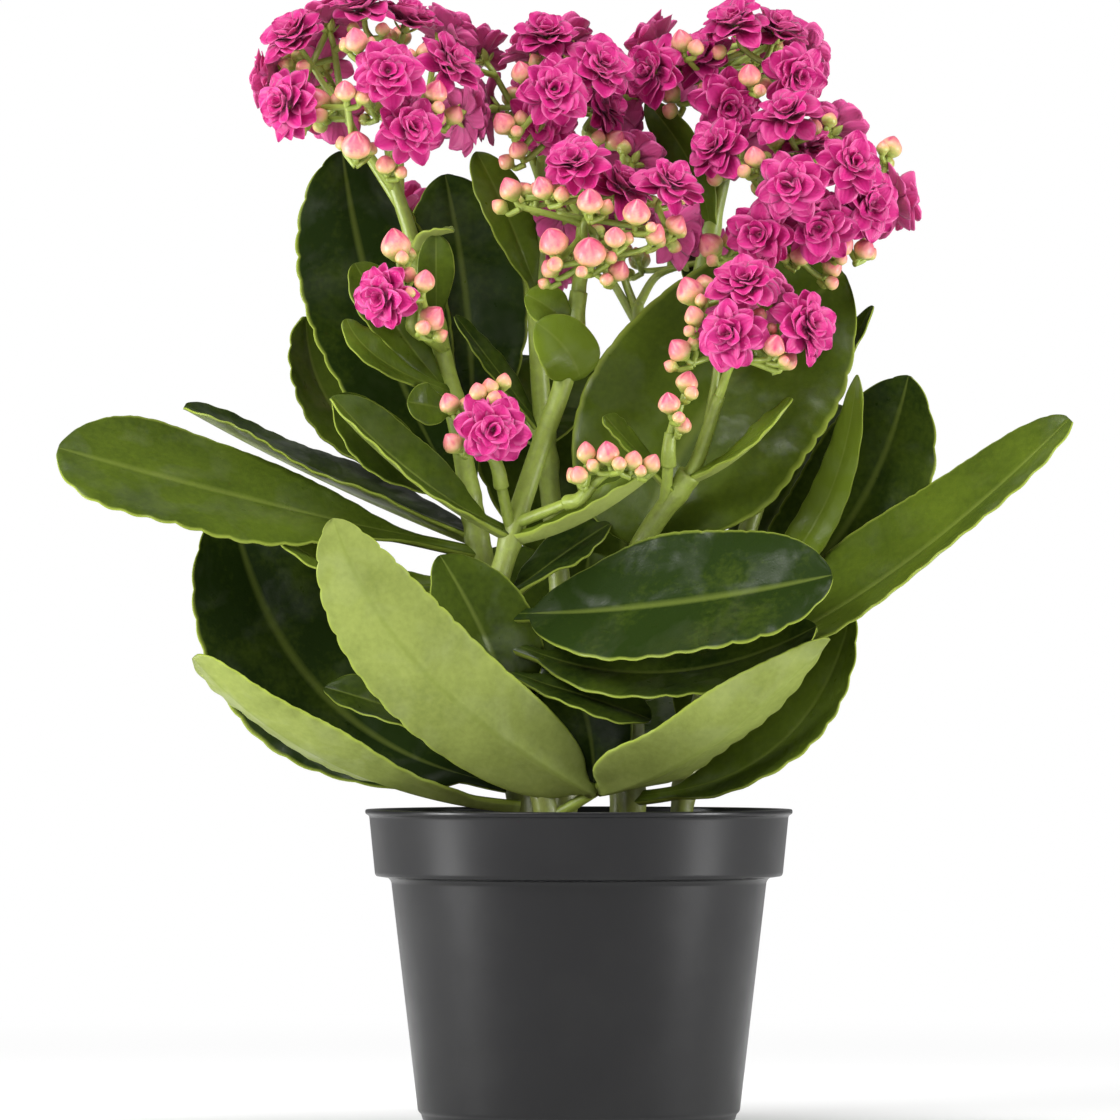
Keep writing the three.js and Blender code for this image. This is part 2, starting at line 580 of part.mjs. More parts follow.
// A solid with its slivers merged, by the first tolerance that leaves no two sheets touching
function cleaned(solid) {
  for (const tolerance of SIMPLIFY) {
    const candidate = fuse([solid.simplify(tolerance)]);
    if (isTight(candidate)) return candidate;
  }
  throw new Error("two sheets of a node touch along an edge");
}

// Joins a node's pieces, and trims the join where it comes nearer than the gap to an earlier node
function settle(pieces) {
  let solid = fuse(pieces.map((make) => make(0)));
  const cutters = [];
  for (const other of settled) {
    if (!boxesMeet(other.box, solid.boundingBox())) continue;
    const cutter = other.make(TRIM_GAP);
    if (cutter.intersect(solid).volume() > 0) cutters.push(cutter);
  }
  if (cutters.length > 0) solid = fuse([solid.subtract(wasm.Manifold.union(cutters))]);
  solid = cleaned(solid);
  for (const make of pieces) settled.push({ make, box: make(TRIM_GAP).boundingBox() });
  return solid;
}

// A node's mesh from its solid
function node(name, solid, color, roughness) {
  const mesh = solid.getMesh();
  const geometry = new THREE.BufferGeometry();
  const places = [];
  for (let i = 0; i < mesh.vertProperties.length; i += mesh.numProp) {
    places.push(mesh.vertProperties[i], mesh.vertProperties[i + 1], mesh.vertProperties[i + 2]);
  }
  geometry.setAttribute("position", new THREE.Float32BufferAttribute(places, 3));
  geometry.setIndex(Array.from(mesh.triVerts));
  const finish = new THREE.MeshStandardMaterial({ color, roughness, metalness: 0 });
  const piece = new THREE.Mesh(geometry, finish);
  piece.name = name;
  return piece;
}

// How many rings a stem has for the points of its path
const stemSteps = (points) => Math.round(1.4 * points.length);

// The point of a stem's path at a height above the soil
function stemAt(path, height) {
  const above = path.findIndex((p) => p[2] >= height);
  const [low, high] = [vec(path[above - 1]), vec(path[above])];
  return mix(low, high, (height - low.z) / (high.z - low.z));
}

// A leaf of the far side: it leaves its stem at a height and a bearing, and rises by a share of
// its own length
function hiddenLeaf(path, [height, bearing, length, width, lift]) {
  const start = stemAt(path, height);
  const angle = THREE.MathUtils.degToRad(bearing);
  const out = new THREE.Vector3(Math.cos(angle), Math.sin(angle), 0);
  const level = length * Math.cos(lift);
  const via = start.clone().addScaledVector(out, 0.6 * level);
  via.z += 0.55 * lift * length;
  const tip = start.clone().addScaledVector(out, level);
  tip.z += lift * length;
  const up = [-lift * out.x, -lift * out.y, 0.6];
  return { base: start.toArray(), via: via.toArray(), tip: tip.toArray(), width, up, heel: 0.9 };
}

// The pieces of a leafy stem: its own limb, its twigs and its leaves
function stemPieces({ path, radii, twigs, leaves, hidden = [] }, extraTwigs) {
  const points = path.map(vec);
  const steps = stemSteps(points);
  const pieces = [(grow) => limb(points, ...radii, STEM_SIDES, steps, grow)];
  for (const [from, to] of [...twigs, ...extraTwigs]) {
    pieces.push((grow) => limb([vec(from), vec(to)], ...TWIG_RADII, TWIG_SIDES, 1, grow));
  }
  const hiddenLeaves = hidden.map((row) => hiddenLeaf(path, row));
  for (const spec of [...leaves, ...hiddenLeaves]) pieces.push((grow) => leaf(spec, grow));
  return pieces;
}

// Flowers already placed on any head, so that none stands in another
const flowers = [];

// Whether a flower of this radius, at this place, keeps its spacing from every placed one
function isClear(centre, radius) {
  const needed = (other) => BLOOM_SPACING * (other.radius + radius);
  return flowers.every((other) => other.centre.distanceTo(centre) > needed(other));
}

// A place on a head's dome, moved back until it is clear of the flowers placed before it
function frontPlace(centre, reach, across, height, radius) {
  const u = (across - centre.x) / reach.x;
  const w = (height - centre.z) / reach.z;
  const depth = Math.sqrt(Math.max(0.05, 1 - u * u - w * w));
  const place = new THREE.Vector3(across, centre.y - reach.y * depth, height);
  for (let step = 0; step < STEPS_BACK && !isClear(place, radius); step++) place.y += STEP_BACK;
  return place;
}

// A place on the far side of a head's dome, by a golden-angle walk, or nothing if it is taken
function backPlace(centre, reach, index, radius) {
  const rise = -0.25 + 1.1 * draw(index, 5);
  const bearing = Math.PI * (0.08 + 0.84 * ((index * 0.618) % 1));
  const direction = new THREE.Vector3(
    Math.cos(rise) * Math.cos(bearing),
    Math.cos(rise) * Math.sin(bearing),
    Math.sin(rise),
  );
  const place = centre.clone().add(direction.multiply(reach));
  return isClear(place, radius) ? place : null;
}

// All flowers of a head: the front ones where they show, then the far ones by rule
function headFlowers(head, index) {
  const centre = vec(head.centre);
  const reach = vec(head.reach);
  const list = [];
  const take = (kind, place, radius) => {
    const spin = 2 * Math.PI * draw(list.length, index + SPIN_SEED);
    const flower = { kind, centre: place, radius, spin };
    flowers.push(flower);
    list.push(flower);
  };
  for (const [x, z] of head.blooms) {
    const radius = BLOOM_RADIUS * (SIZE_SPREAD[0] + SIZE_SPREAD[1] * draw(x, 1));
    take("bloom", frontPlace(centre, reach, x, z, radius), radius);
  }
  for (const [x, z, radius] of head.buds) take("bud", frontPlace(centre, reach, x, z, radius), radius);
  const behind = [
    ["bloom", head.hidden[0], BLOOM_RADIUS],
    ["bud", head.hidden[1], HIDDEN_BUD_RADIUS],
  ];
  for (const [kind, wanted, radius] of behind) {
    for (let tries = 0, placed = 0; tries < FAR_TRIES && placed < wanted; tries++) {
      const place = backPlace(centre, reach, tries + 7 * index, radius);
      if (!place) continue;
      take(kind, place, radius);
      placed++;
    }
  }
  return list;
}

// The flowers in groups of neighbours, by their bearing from the hub of the head's stalk
function clusters(list, hub, count) {
  const bearing = ({ centre }) => {
    const turn = Math.atan2(centre.z - hub.z, centre.x - hub.x);
    return centre.y > hub.y ? turn + 2 * Math.PI : turn;
  };
  const sorted = [...list].sort((a, b) => bearing(a) - bearing(b));
  const size = Math.ceil(sorted.length / count);
  const groups = Array.from({ length: count }, (_, i) => sorted.slice(i * size, (i + 1) * size));
  return groups.filter((group) => group.length > 0);
}

// A head: its stalk, and its flowers in clusters. The first flower of a cluster carries the arm, which
// leaves the stalk at a height of its own, and the other pedicels leave that arm one after another.
function headPieces(head, index) {
  const foot = vec(head.foot);
  const rise = foot.clone().sub(vec(head.under)).normalize();
  const start = foot.clone().addScaledVector(rise, GAP);
  const centre = vec(head.centre);
  const reach = vec(head.reach);
  const hub = mix(start, centre, 0.5);
  const stalk = [start, start.clone().addScaledVector(rise, 3), hub];
  const pieces = [(grow) => limb(stalk, ...HEAD_STALK_RADII, TWIG_SIDES, 2, grow)];
  const groups = clusters(headFlowers(head, index), hub, head.arms);
  groups.forEach((group, row) => {
    const leader = group[0];
    const origin = mix(start, hub, 0.95 - (0.7 * row) / groups.length);
    const middle = group.reduce((sum, flower) => sum.add(flower.centre), new THREE.Vector3());
    const fork = mix(hub, middle.divideScalar(group.length), 0.5);
    group.forEach((flower, place) => {
      const share = 0.35 + (0.75 * place) / group.length;
      const nearFork = mix(origin, fork, 2 * share);
      const branching = share < 0.5 ? nearFork : mix(fork, leader.centre, 2 * share - 1);
      flower.route = place === 0 ? [origin, fork] : [branching];
      const out = flower.centre.clone().sub(centre).divide(reach).divide(reach).normalize();
      const along = flower.centre.clone().sub(flower.route.at(-1)).normalize();
      const [outward, forward, upward] = FACING;
      const leaning = flower.centre.y < centre.y ? -forward : forward;
      flower.axis = out.addScaledVector(along, outward).add(new THREE.Vector3(0, leaning, upward));
      flower.axis.z = Math.max(flower.axis.z, LOWEST_NOD);
      flower.axis.normalize();
      pieces.push((grow) => flowerOnStalk(flower, grow));
    });
  });
  return pieces;
}

const BLACK_PLASTIC = 0x3a3a3c;
const PEAT = 0x3b2a20;
const LEAF_GREEN = 0x4d6a2c;
const MAGENTA = 0xc4208a;

const plant = new THREE.Group();
plant.add(node("nursery_pot", pot(), BLACK_PLASTIC, 0.45));

const holes = Object.values(STEMS).map(({ path, radii }) => {
  const points = path.map(vec);
  return limb(points, ...radii, STEM_SIDES, stemSteps(points), GAP);
});
plant.add(node("potting_soil", soil(holes), PEAT, 0.95));

for (const [name, spec] of Object.entries(STEMS)) {
  const twigs = Object.values(BACK_HEADS)
    .filter((head) => head.stem === name)
    .map((head) => [stemAt(spec.path, head.from).toArray(), head.foot]);
  plant.add(node(name, settle(stemPieces(spec, twigs)), LEAF_GREEN, 0.5));
}

const heads = Object.entries(HEADS);
for (const [name, { stem, from, blooms, buds, ...dome }] of Object.entries(BACK_HEADS)) {
  const under = stemAt(STEMS[stem].path, from).toArray();
  heads.push([name, { ...dome, under, arms: BACK_ARMS, blooms: [], buds: [], hidden: [blooms, buds] }]);
}
heads.forEach(([name, head], index) => {
  plant.add(node(name, settle(headPieces(head, index)), MAGENTA, 0.6));
});

export default plant;
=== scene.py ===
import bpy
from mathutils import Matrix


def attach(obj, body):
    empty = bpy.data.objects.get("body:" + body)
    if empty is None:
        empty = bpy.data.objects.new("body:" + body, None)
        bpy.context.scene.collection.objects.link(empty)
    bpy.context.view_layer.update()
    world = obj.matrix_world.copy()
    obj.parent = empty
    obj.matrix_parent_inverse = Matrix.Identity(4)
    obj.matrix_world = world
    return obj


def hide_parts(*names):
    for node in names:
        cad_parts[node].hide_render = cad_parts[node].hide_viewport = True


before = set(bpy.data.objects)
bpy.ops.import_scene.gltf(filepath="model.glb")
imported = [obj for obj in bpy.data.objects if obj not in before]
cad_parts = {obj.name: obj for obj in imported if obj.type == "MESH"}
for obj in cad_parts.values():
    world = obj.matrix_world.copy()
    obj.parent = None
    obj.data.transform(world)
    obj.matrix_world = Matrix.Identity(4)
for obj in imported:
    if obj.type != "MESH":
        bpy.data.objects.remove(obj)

"""The looks of the potted flaming katy: fleshy crenate leaves, double magenta blooms, salmon buds,
moist peat and a satin black nursery pot. Shapes are worked out in millimetres in the frame of the
solids, +Z up and the front of the plant towards -Y, and are written to the meshes in metres."""

import functools
import logging
import math
from dataclasses import dataclass, field
from enum import Enum

import bpy
import numpy as np
from mathutils import Vector

log = logging.getLogger("flaming_katy")

METRES = 0.001
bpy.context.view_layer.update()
BODY = "root"

Triple = tuple[float, float, float]
Pair = tuple[float, float]
Twig = tuple[Triple, Triple]
Finish = bpy.types.Material
Socket = bpy.types.NodeSocket

ITEM_TURN = 12.9898
KIND_TURN = 78.233
LARGE = 43758.5453


def draw(item: float, kind: float) -> float:
    """A repeatable number between 0 and 1: the fraction of a large multiple of a sine.

    Args:
        item: the thing that the number is drawn for.
        kind: which of its properties it is drawn for.

    Returns:
        The number, the same in every run.
    """
    value = math.sin(item * ITEM_TURN + kind * KIND_TURN) * LARGE
    return value - math.floor(value)


def draws(count: int, kind: float, start: float = 0.0) -> np.ndarray:
    """The draws of a row of items, as one array.

    Args:
        count: how many items.
        kind: which of their properties.
        start: the number of the first item.

    Returns:
        An array of numbers between 0 and 1.
    """
    value = np.sin((np.arange(count) + start) * ITEM_TURN + kind * KIND_TURN) * LARGE
    return value - np.floor(value)


def unit(vectors: np.ndarray) -> np.ndarray:
    """Vectors of length one: each is divided by its own length.

    Args:
        vectors: an array whose last axis holds x, y and z.

    Returns:
        The array with every vector at length one.
    """
    length = np.linalg.norm(vectors, axis=-1, keepdims=True)
    return vectors / np.maximum(length, 1e-9)


def smooth(value: np.ndarray, low: float, high: float) -> np.ndarray:
    """A smooth step from 0 at low to 1 at high: three squares less two cubes.

    Args:
        value: where the step is wanted.
        low: where it starts.
        high: where it ends.

    Returns:
        The step's height at each value.
    """
    share = np.clip((value - low) / (high - low), 0.0, 1.0)
    return share * share * (3.0 - 2.0 * share)


def bell(distance: np.ndarray, width: float) -> np.ndarray:
    """A bell curve of height one: the exponential of less the distance's square, in widths."""
    return np.exp(-((distance / width) ** 2))


def flattened(wave: np.ndarray, power: float) -> np.ndarray:
    """A wave whose size is raised to a power, with its sign kept: below one its crests are flatter."""
    return np.sign(wave) * np.abs(wave) ** power


def turns(count: int) -> np.ndarray:
    """Even turns round a full circle, without its end, in radians."""
    return np.linspace(0.0, 2.0 * np.pi, count, endpoint=False)


def around(bearing: np.ndarray, out: np.ndarray, sideways: np.ndarray, above: np.ndarray) -> np.ndarray:
    """Places set out round an upright axis.

    Args:
        bearing: the turn of each place's direction, in radians.
        out: how far it lies along that direction.
        sideways: how far it lies square to that direction.
        above: its height.

    Returns:
        The places.
    """
    across = out * np.cos(bearing) - sideways * np.sin(bearing)
    away = out * np.sin(bearing) + sideways * np.cos(bearing)
    return np.stack([across, away, above + 0 * across], axis=-1)


def curve_through(points: np.ndarray, count: int) -> np.ndarray:
    """A smooth curve through points: a cubic between neighbours, whose slope at a point weighs the
    two chords that meet there by the square roots of their lengths.

    Args:
        points: the points, at least two, in order.
        count: how many places on the curve.

    Returns:
        The places, evenly spread over the knots.
    """
    chord = np.sqrt(np.linalg.norm(np.diff(points, axis=0), axis=1))
    knots = np.concatenate([[0.0], np.cumsum(chord)])
    slope = np.diff(points, axis=0) / chord[:, None]
    inner = (slope[:-1] * chord[1:, None] + slope[1:] * chord[:-1, None]) / (chord[:-1] + chord[1:])[:, None]
    slopes = np.vstack([slope[:1], inner, slope[-1:]])
    at = np.linspace(0.0, knots[-1], count)
    span = np.clip(np.searchsorted(knots, at, side="right") - 1, 0, len(chord) - 1)
    step = chord[span][:, None]
    t = (at[:, None] - knots[span][:, None]) / step
    return (
        (2 * t**3 - 3 * t**2 + 1) * points[span]
        + (t**3 - 2 * t**2 + t) * step * slopes[span]
        + (3 * t**2 - 2 * t**3) * points[span + 1]
        + (t**3 - t**2) * step * slopes[span + 1]
    )


@dataclass
class Skin:
    """Closed surfaces that are gathered into one mesh, with values kept at each point."""

    points: list[np.ndarray] = field(default_factory=list)
    quads: list[np.ndarray] = field(default_factory=list)
    fans: list[np.ndarray] = field(default_factory=list)
    values: dict[str, list[np.ndarray]] = field(default_factory=dict)
    count: int = 0

    def add(self, rings: np.ndarray, **values: float | np.ndarray) -> None:
        """Adds closed surfaces, each a row of rings whose two ends are closed by fans.

        Args:
            rings: places in the shape (surfaces, rings, columns, 3), or without the first axis.
            values: numbers kept at each place, in a shape that spreads over the places.
        """
        if rings.ndim == 3:
            rings = rings[None]
        pieces, rows, columns, _ = rings.shape
        ends = np.stack([rings[:, 0].mean(axis=1), rings[:, -1].mean(axis=1)], axis=1)
        points = np.concatenate([rings.reshape(pieces, rows * columns, 3), ends], axis=1)
        size = points.shape[1]
        row, column = np.meshgrid(np.arange(rows - 1), np.arange(columns), indexing="ij")
        after, here, above = (column + 1) % columns, row * columns, (row + 1) * columns
        quad = np.stack([here + column, here + after, above + after, above + column], axis=-1).reshape(-1, 4)
        side = np.arange(columns)
        turn, last = (side + 1) % columns, (rows - 1) * columns
        foot = np.stack([np.full(columns, size - 2), turn, side], axis=-1)
        tip = np.stack([np.full(columns, size - 1), last + side, last + turn], axis=-1)
        fan = np.concatenate([foot, tip])
        offset = self.count + np.arange(pieces) * size
        outward = self.volumes(points, quad, fan) >= 0
        for kept, order in ((True, 1), (False, -1)):
            chosen = offset[outward == kept][:, None, None]
            self.quads.append((quad[None, :, ::order] + chosen).reshape(-1, 4))
            self.fans.append((fan[None, :, ::order] + chosen).reshape(-1, 3))
        self.points.append(points.reshape(-1, 3))
        for name, value in values.items():
            spread = np.broadcast_to(value, (pieces, rows, columns)).astype(float)
            closing = np.stack([spread[:, 0].mean(axis=1), spread[:, -1].mean(axis=1)], axis=1)
            flat = np.concatenate([spread.reshape(pieces, -1), closing], axis=1)
            self.values.setdefault(name, []).append(flat.reshape(-1))
        self.count += pieces * size

    @staticmethod
    def volumes(points: np.ndarray, quad: np.ndarray, fan: np.ndarray) -> np.ndarray:
        """The signed volume of each surface: a sixth of each triangle's triple product, summed.

        Args:
            points: the places of each surface.
            quad: its faces with four corners.
            fan: its faces with three corners.

        Returns:
            One volume for each surface, below zero where its faces point inwards.
        """
        faces = np.concatenate([quad[:, [0, 1, 2]], quad[:, [0, 2, 3]], fan])
        local = points - points.mean(axis=1, keepdims=True)
        a, b, c = (local[:, faces[:, corner]] for corner in range(3))
        return np.einsum("pfk,pfk->p", a, np.cross(b, c)) / 6.0

    def mesh(self, name: str) -> bpy.types.Mesh:
        """The bare mesh of all its surfaces, in metres.

        Args:
            name: the mesh's name.

        Returns:
            The mesh.
        """
        mesh = bpy.data.meshes.new(name)
        faces = np.concatenate(self.quads).tolist() + np.concatenate(self.fans).tolist()
        mesh.from_pydata(np.concatenate(self.points) * METRES, [], faces)
        return mesh

    def make(self, name: str, finish: Finish, slot: str, nodes: list[str]) -> bpy.types.Object:
        """Makes the mesh, smooth shaded, hangs it on its body and hides the solids that it stands for.

        Args:
            name: the piece's name.
            finish: its material.
            slot: the record's slot of its finish; not used.
            nodes: the solids that it stands for, or none.

        Returns:
            The piece.
        """
        mesh = self.mesh(name)
        for key, parts in self.values.items():
            layer = mesh.attributes.new(key, "FLOAT", "POINT")
            layer.data.foreach_set("value", np.concatenate(parts).astype(np.float32))
        mesh.shade_smooth()
        mesh.materials.append(finish)
        piece = bpy.data.objects.new(name, mesh)
        bpy.context.scene.collection.objects.link(piece)
        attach(piece, BODY)
        if nodes:
            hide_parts(*nodes)
        log.info("%s: %d points", name, len(mesh.vertices))
        return piece


@dataclass(frozen=True)
class Tint:
    """A colour as linear red, green and blue."""

    red: float
    green: float
    blue: float

    def rgba(self) -> tuple[float, float, float, float]:
        """The colour with full cover."""
        return (self.red, self.green, self.blue, 1.0)


@dataclass(frozen=True)
class Lumps:
    """A noise on the object's own coordinates: how many lumps to a metre, how many finer layers, the
    ends that its middle is stretched to, how far the lumps are drawn out, and what its middle is."""

    scale: float
    detail: float
    low: float = 0.0
    high: float = 1.0
    drawn: float = 0.0
    middle: Pair = (0.3, 0.7)


class Wiring:
    """The nodes of one material, with short ways to add and join them."""

    def __init__(self, name: str, roughness: float) -> None:
        """Starts a material with a principled shader.

        Args:
            name: the material's name.
            roughness: the shader's roughness, where nothing is wired to it.
        """
        self.material = bpy.data.materials.new(name)
        self.material.use_nodes = True
        self.tree = self.material.node_tree
        self.shader = self.tree.nodes["Principled BSDF"]
        self.shader.inputs["Roughness"].default_value = roughness

    def set(self, name: str, number: float) -> None:
        """Gives one of the shader's inputs a plain number."""
        self.shader.inputs[name].default_value = number

    def join(self, source: Socket, target: Socket) -> None:
        """Joins an output to an input."""
        self.tree.links.new(source, target)

    def feed(self, source: Socket, name: str) -> None:
        """Joins an output to one of the shader's inputs."""
        self.join(source, self.shader.inputs[name])

    def value(self, name: str) -> Socket:
        """Reads a value that is kept at the points of a mesh.

        Args:
            name: the value's name.

        Returns:
            Its output.
        """
        reader = self.tree.nodes.new("ShaderNodeAttribute")
        reader.attribute_name = name
        return reader.outputs["Fac"]

    def noise(self, lumps: Lumps) -> Socket:
        """A noise as it comes, about a half in the mean.

        Args:
            lumps: the noise.

        Returns:
            Its output.
        """
        place = self.tree.nodes.new("ShaderNodeTexCoord")
        node = self.tree.nodes.new("ShaderNodeTexNoise")
        node.inputs["Scale"].default_value = lumps.scale
        node.inputs["Detail"].default_value = lumps.detail
        node.inputs["Distortion"].default_value = lumps.drawn
        self.join(place.outputs["Object"], node.inputs["Vector"])
        return node.outputs["Fac"]

    def stretched(self, lumps: Lumps) -> Socket:
        """The output of a noise whose middle is stretched to its ends."""
        return self.span(self.noise(lumps), lumps.middle, (lumps.low, lumps.high))

    def ramp(self, source: Socket, stops: list[tuple[float, Tint]]) -> Socket:
        """The colours that a value runs through.

        Args:
            source: the value.
            stops: the places of the colours between 0 and 1, in order.

        Returns:
            The colour output.
        """
        node = self.tree.nodes.new("ShaderNodeValToRGB")
        band = node.color_ramp
        while len(band.elements) < len(stops):
            band.elements.new(0.5)
        for element, (place, tint) in zip(band.elements, stops):
            element.position = place
            element.color = tint.rgba()
        self.join(source, node.inputs["Fac"])
        return node.outputs["Color"]

    def mix(self, share: Socket, low: Tint | Socket, high: Tint | Socket) -> Socket:
        """A colour between two.

        Args:
            share: how much of the second there is.
            low: the first colour.
            high: the second colour.

        Returns:
            The colour output.
        """
        node = self.tree.nodes.new("ShaderNodeMix")
        node.data_type = "RGBA"
        for end, socket in ((low, node.inputs[6]), (high, node.inputs[7])):
            if isinstance(end, Tint):
                socket.default_value = end.rgba()
            else:
                self.join(end, socket)
        self.join(share, node.inputs[0])
        return node.outputs[2]

    def span(self, source: Socket, old: Pair, new: Pair) -> Socket:
        """A value moved evenly from one span to another, and held at its ends.

        Args:
            source: the value.
            old: its span.
            new: the span that it is moved to.

        Returns:
            The moved value's output.
        """
        node = self.tree.nodes.new("ShaderNodeMapRange")
        for socket, number in zip(node.inputs[1:5], (*old, *new)):
            socket.default_value = number
        self.join(source, node.inputs[0])
        return node.outputs[0]

    def sum(self, kind: str, first: Socket, second: float | Socket = 0.0) -> Socket:
        """A sum on one or two values.

        Args:
            kind: the sum, such as ADD, MULTIPLY or SINE.
            first: the first value.
            second: the second value.

        Returns:
            The result's output.
        """
        node = self.tree.nodes.new("ShaderNodeMath")
        node.operation = kind
        self.join(first, node.inputs[0])
        if isinstance(second, (int, float)):
            node.inputs[1].default_value = second
        else:
            self.join(second, node.inputs[1])
        return node.outputs[0]

    def total(self, *terms: Socket) -> Socket:
        """All values added up, in order."""
        return functools.reduce(functools.partial(self.sum, "ADD"), terms)

    def product(self, *factors: float | Socket) -> Socket:
        """All values multiplied, in order."""
        return functools.reduce(functools.partial(self.sum, "MULTIPLY"), factors)

    def bump(self, height: Socket, depth_mm: float, strength: float) -> None:
        """Raises the surface's shading by a height.

        Args:
            height: the height, from 0 to 1.
            depth_mm: how many millimetres a height of 1 is.
            strength: how much of it shows.
        """
        node = self.tree.nodes.new("ShaderNodeBump")
        node.inputs["Strength"].default_value = strength
        node.inputs["Distance"].default_value = depth_mm * METRES
        self.join(height, node.inputs["Height"])
        self.feed(node.outputs["Normal"], "Normal")


@dataclass(frozen=True)
class LeafFinish:
    """A fleshy leaf: patchy gloss on green above, pale and matt below, a lime margin, a pale midrib."""

    deep: Tint = Tint(0.013, 0.025, 0.004)
    fresh: Tint = Tint(0.098, 0.14, 0.012)
    below_deep: Tint = Tint(0.075, 0.098, 0.017)
    below_pale: Tint = Tint(0.235, 0.28, 0.07)
    margin: Tint = Tint(0.25, 0.31, 0.045)
    margin_start: float = 0.94
    margin_cover: float = 0.9
    midrib: Tint = Tint(0.15, 0.19, 0.035)
    midrib_reach: Pair = (0.015, 0.07)
    midrib_cover: float = 0.42
    cloud: Lumps = Lumps(55.0, 4.0, -0.16, 0.16)
    mottle: Lumps = Lumps(620.0, 3.0, -0.07, 0.07)
    gloss: Lumps = Lumps(240.0, 3.0, 0.27, 0.41)
    sheen: Lumps = Lumps(70.0, 3.0, 0.03, 0.3, 0.5, (0.48, 0.66))
    matt_roughness: float = 0.46
    veins_along: float = 62.0
    veins_slant: float = -9.0
    vein_height: float = 0.1
    grain: Lumps = Lumps(1500.0, 2.0)
    grain_height: float = 0.3
    dents: Lumps = Lumps(95.0, 2.0)
    dent_height: float = 2.0
    relief_mm: float = 0.35
    relief_strength: float = 0.45

    def material(self) -> Finish:
        """Makes the material from the values along, across, upper and tone of each point.

        Returns:
            The material.
        """
        wires = Wiring("fleshy_leaf", self.matt_roughness)
        across = wires.sum("ABSOLUTE", wires.value("across"))
        shade = wires.total(wires.value("tone"), wires.stretched(self.cloud), wires.stretched(self.mottle))
        # Each leaf's tone picks between the deep and fresh greens; a low tone is partly the leaf's own dark
        # green and partly painted shade.
        above = wires.ramp(shade, [(0.0, self.deep), (0.9, self.fresh)])
        below = wires.ramp(shade, [(0.1, self.below_deep), (0.85, self.below_pale)])
        upper = wires.span(wires.value("upper"), (0.42, 0.58), (0.0, 1.0))
        midrib_share = wires.span(across, self.midrib_reach, (self.midrib_cover, 0.0))
        ribbed = wires.mix(midrib_share, wires.mix(upper, below, above), self.midrib)
        margin_share = wires.span(across, (self.margin_start, 1.0), (0.0, self.margin_cover))
        wires.feed(wires.mix(margin_share, ribbed, self.margin), "Base Color")
        matt = wires.span(upper, (0.0, 1.0), (self.matt_roughness, 0.0))
        wires.feed(wires.sum("MAXIMUM", matt, wires.stretched(self.gloss)), "Roughness")
        wires.feed(wires.stretched(self.sheen), "Specular IOR Level")
        slant = wires.total(
            wires.product(wires.value("along"), self.veins_along), wires.product(across, self.veins_slant)
        )
        veins = wires.span(wires.sum("SINE", slant), (0.3, 1.0), (0.0, self.vein_height))
        grain = wires.product(wires.noise(self.grain), self.grain_height)
        dents = wires.product(wires.noise(self.dents), self.dent_height)
        wires.bump(wires.total(veins, grain, dents), self.relief_mm, self.relief_strength)
        return wires.material


@dataclass(frozen=True)
class StalkFinish:
    """A fleshy stalk: brownish green at its foot, fresh yellow green at its tip."""

    old: Tint = Tint(0.15, 0.17, 0.035)
    young: Tint = Tint(0.235, 0.3, 0.045)
    bract: Tint = Tint(0.36, 0.42, 0.08)
    streaks: Lumps = Lumps(420.0, 3.0, -0.14, 0.14, 0.6)
    roughness: float = 0.42
    grain: Lumps = Lumps(900.0, 3.0)

    def material(self) -> Finish:
        """Makes the material from the value tone of each point.

        Returns:
            The material.
        """
        wires = Wiring("fleshy_stalk", self.roughness)
        shade = wires.total(wires.value("tone"), wires.stretched(self.streaks))
        wires.feed(wires.ramp(shade, [(0.0, self.old), (0.45, self.young), (1.0, self.bract)]), "Base Color")
        wires.bump(wires.noise(self.grain), 0.25, 0.5)
        return wires.material


@dataclass(frozen=True)
class PetalFinish:
    """A soft petal: magenta, pale then deep at its foot, pale towards its edge and on its back, with
    faint long veins. The deep magenta at the foot is painted shade in the crowded middle of the bloom."""

    # painted shade: the deep magenta laid near the petal's foot, in the middle of the bloom
    deep: Tint = Tint(0.23, 0.002, 0.07)
    clear: Tint = Tint(0.47, 0.009, 0.16)
    pale: Tint = Tint(0.8, 0.19, 0.43)
    cloud: Lumps = Lumps(900.0, 3.0, -0.12, 0.12)
    edge_start: float = 0.5
    edge_cover: float = 0.5
    back_cover: float = 0.3
    roughness: float = 0.48
    sheen: float = 0.12
    sheen_roughness: float = 0.4
    specular: float = 0.35
    veins: float = 17.0

    def material(self) -> Finish:
        """Makes the material from the values along, across, upper and tone of each point.

        Returns:
            The material.
        """
        wires = Wiring("magenta_petal", self.roughness)
        across = wires.sum("ABSOLUTE", wires.value("across"))
        # Darker towards the petal's foot, and a little on inner whorls through the tone: painted shade in the
        # middle of the bloom.
        painted_shading = wires.total(wires.value("along"), wires.value("tone"), wires.stretched(self.cloud))
        body = wires.ramp(painted_shading, [(0.0, self.pale), (0.2, self.deep), (0.55, self.clear), (1.0, self.clear)])
        edge = wires.span(across, (self.edge_start, 1.0), (0.0, self.edge_cover))
        edged = wires.mix(wires.product(edge, wires.value("along")), body, self.pale)
        back = wires.span(wires.value("upper"), (0.3, 0.6), (self.back_cover, 0.0))
        wires.feed(wires.mix(back, edged, self.pale), "Base Color")
        folds = wires.sum("SINE", wires.product(wires.value("across"), self.veins))
        wires.bump(wires.span(folds, (-1.0, 1.0), (0.0, 1.0)), 0.12, 0.45)
        wires.set("Sheen Weight", self.sheen)
        wires.set("Sheen Roughness", self.sheen_roughness)
        wires.set("Specular IOR Level", self.specular)
        return wires.material


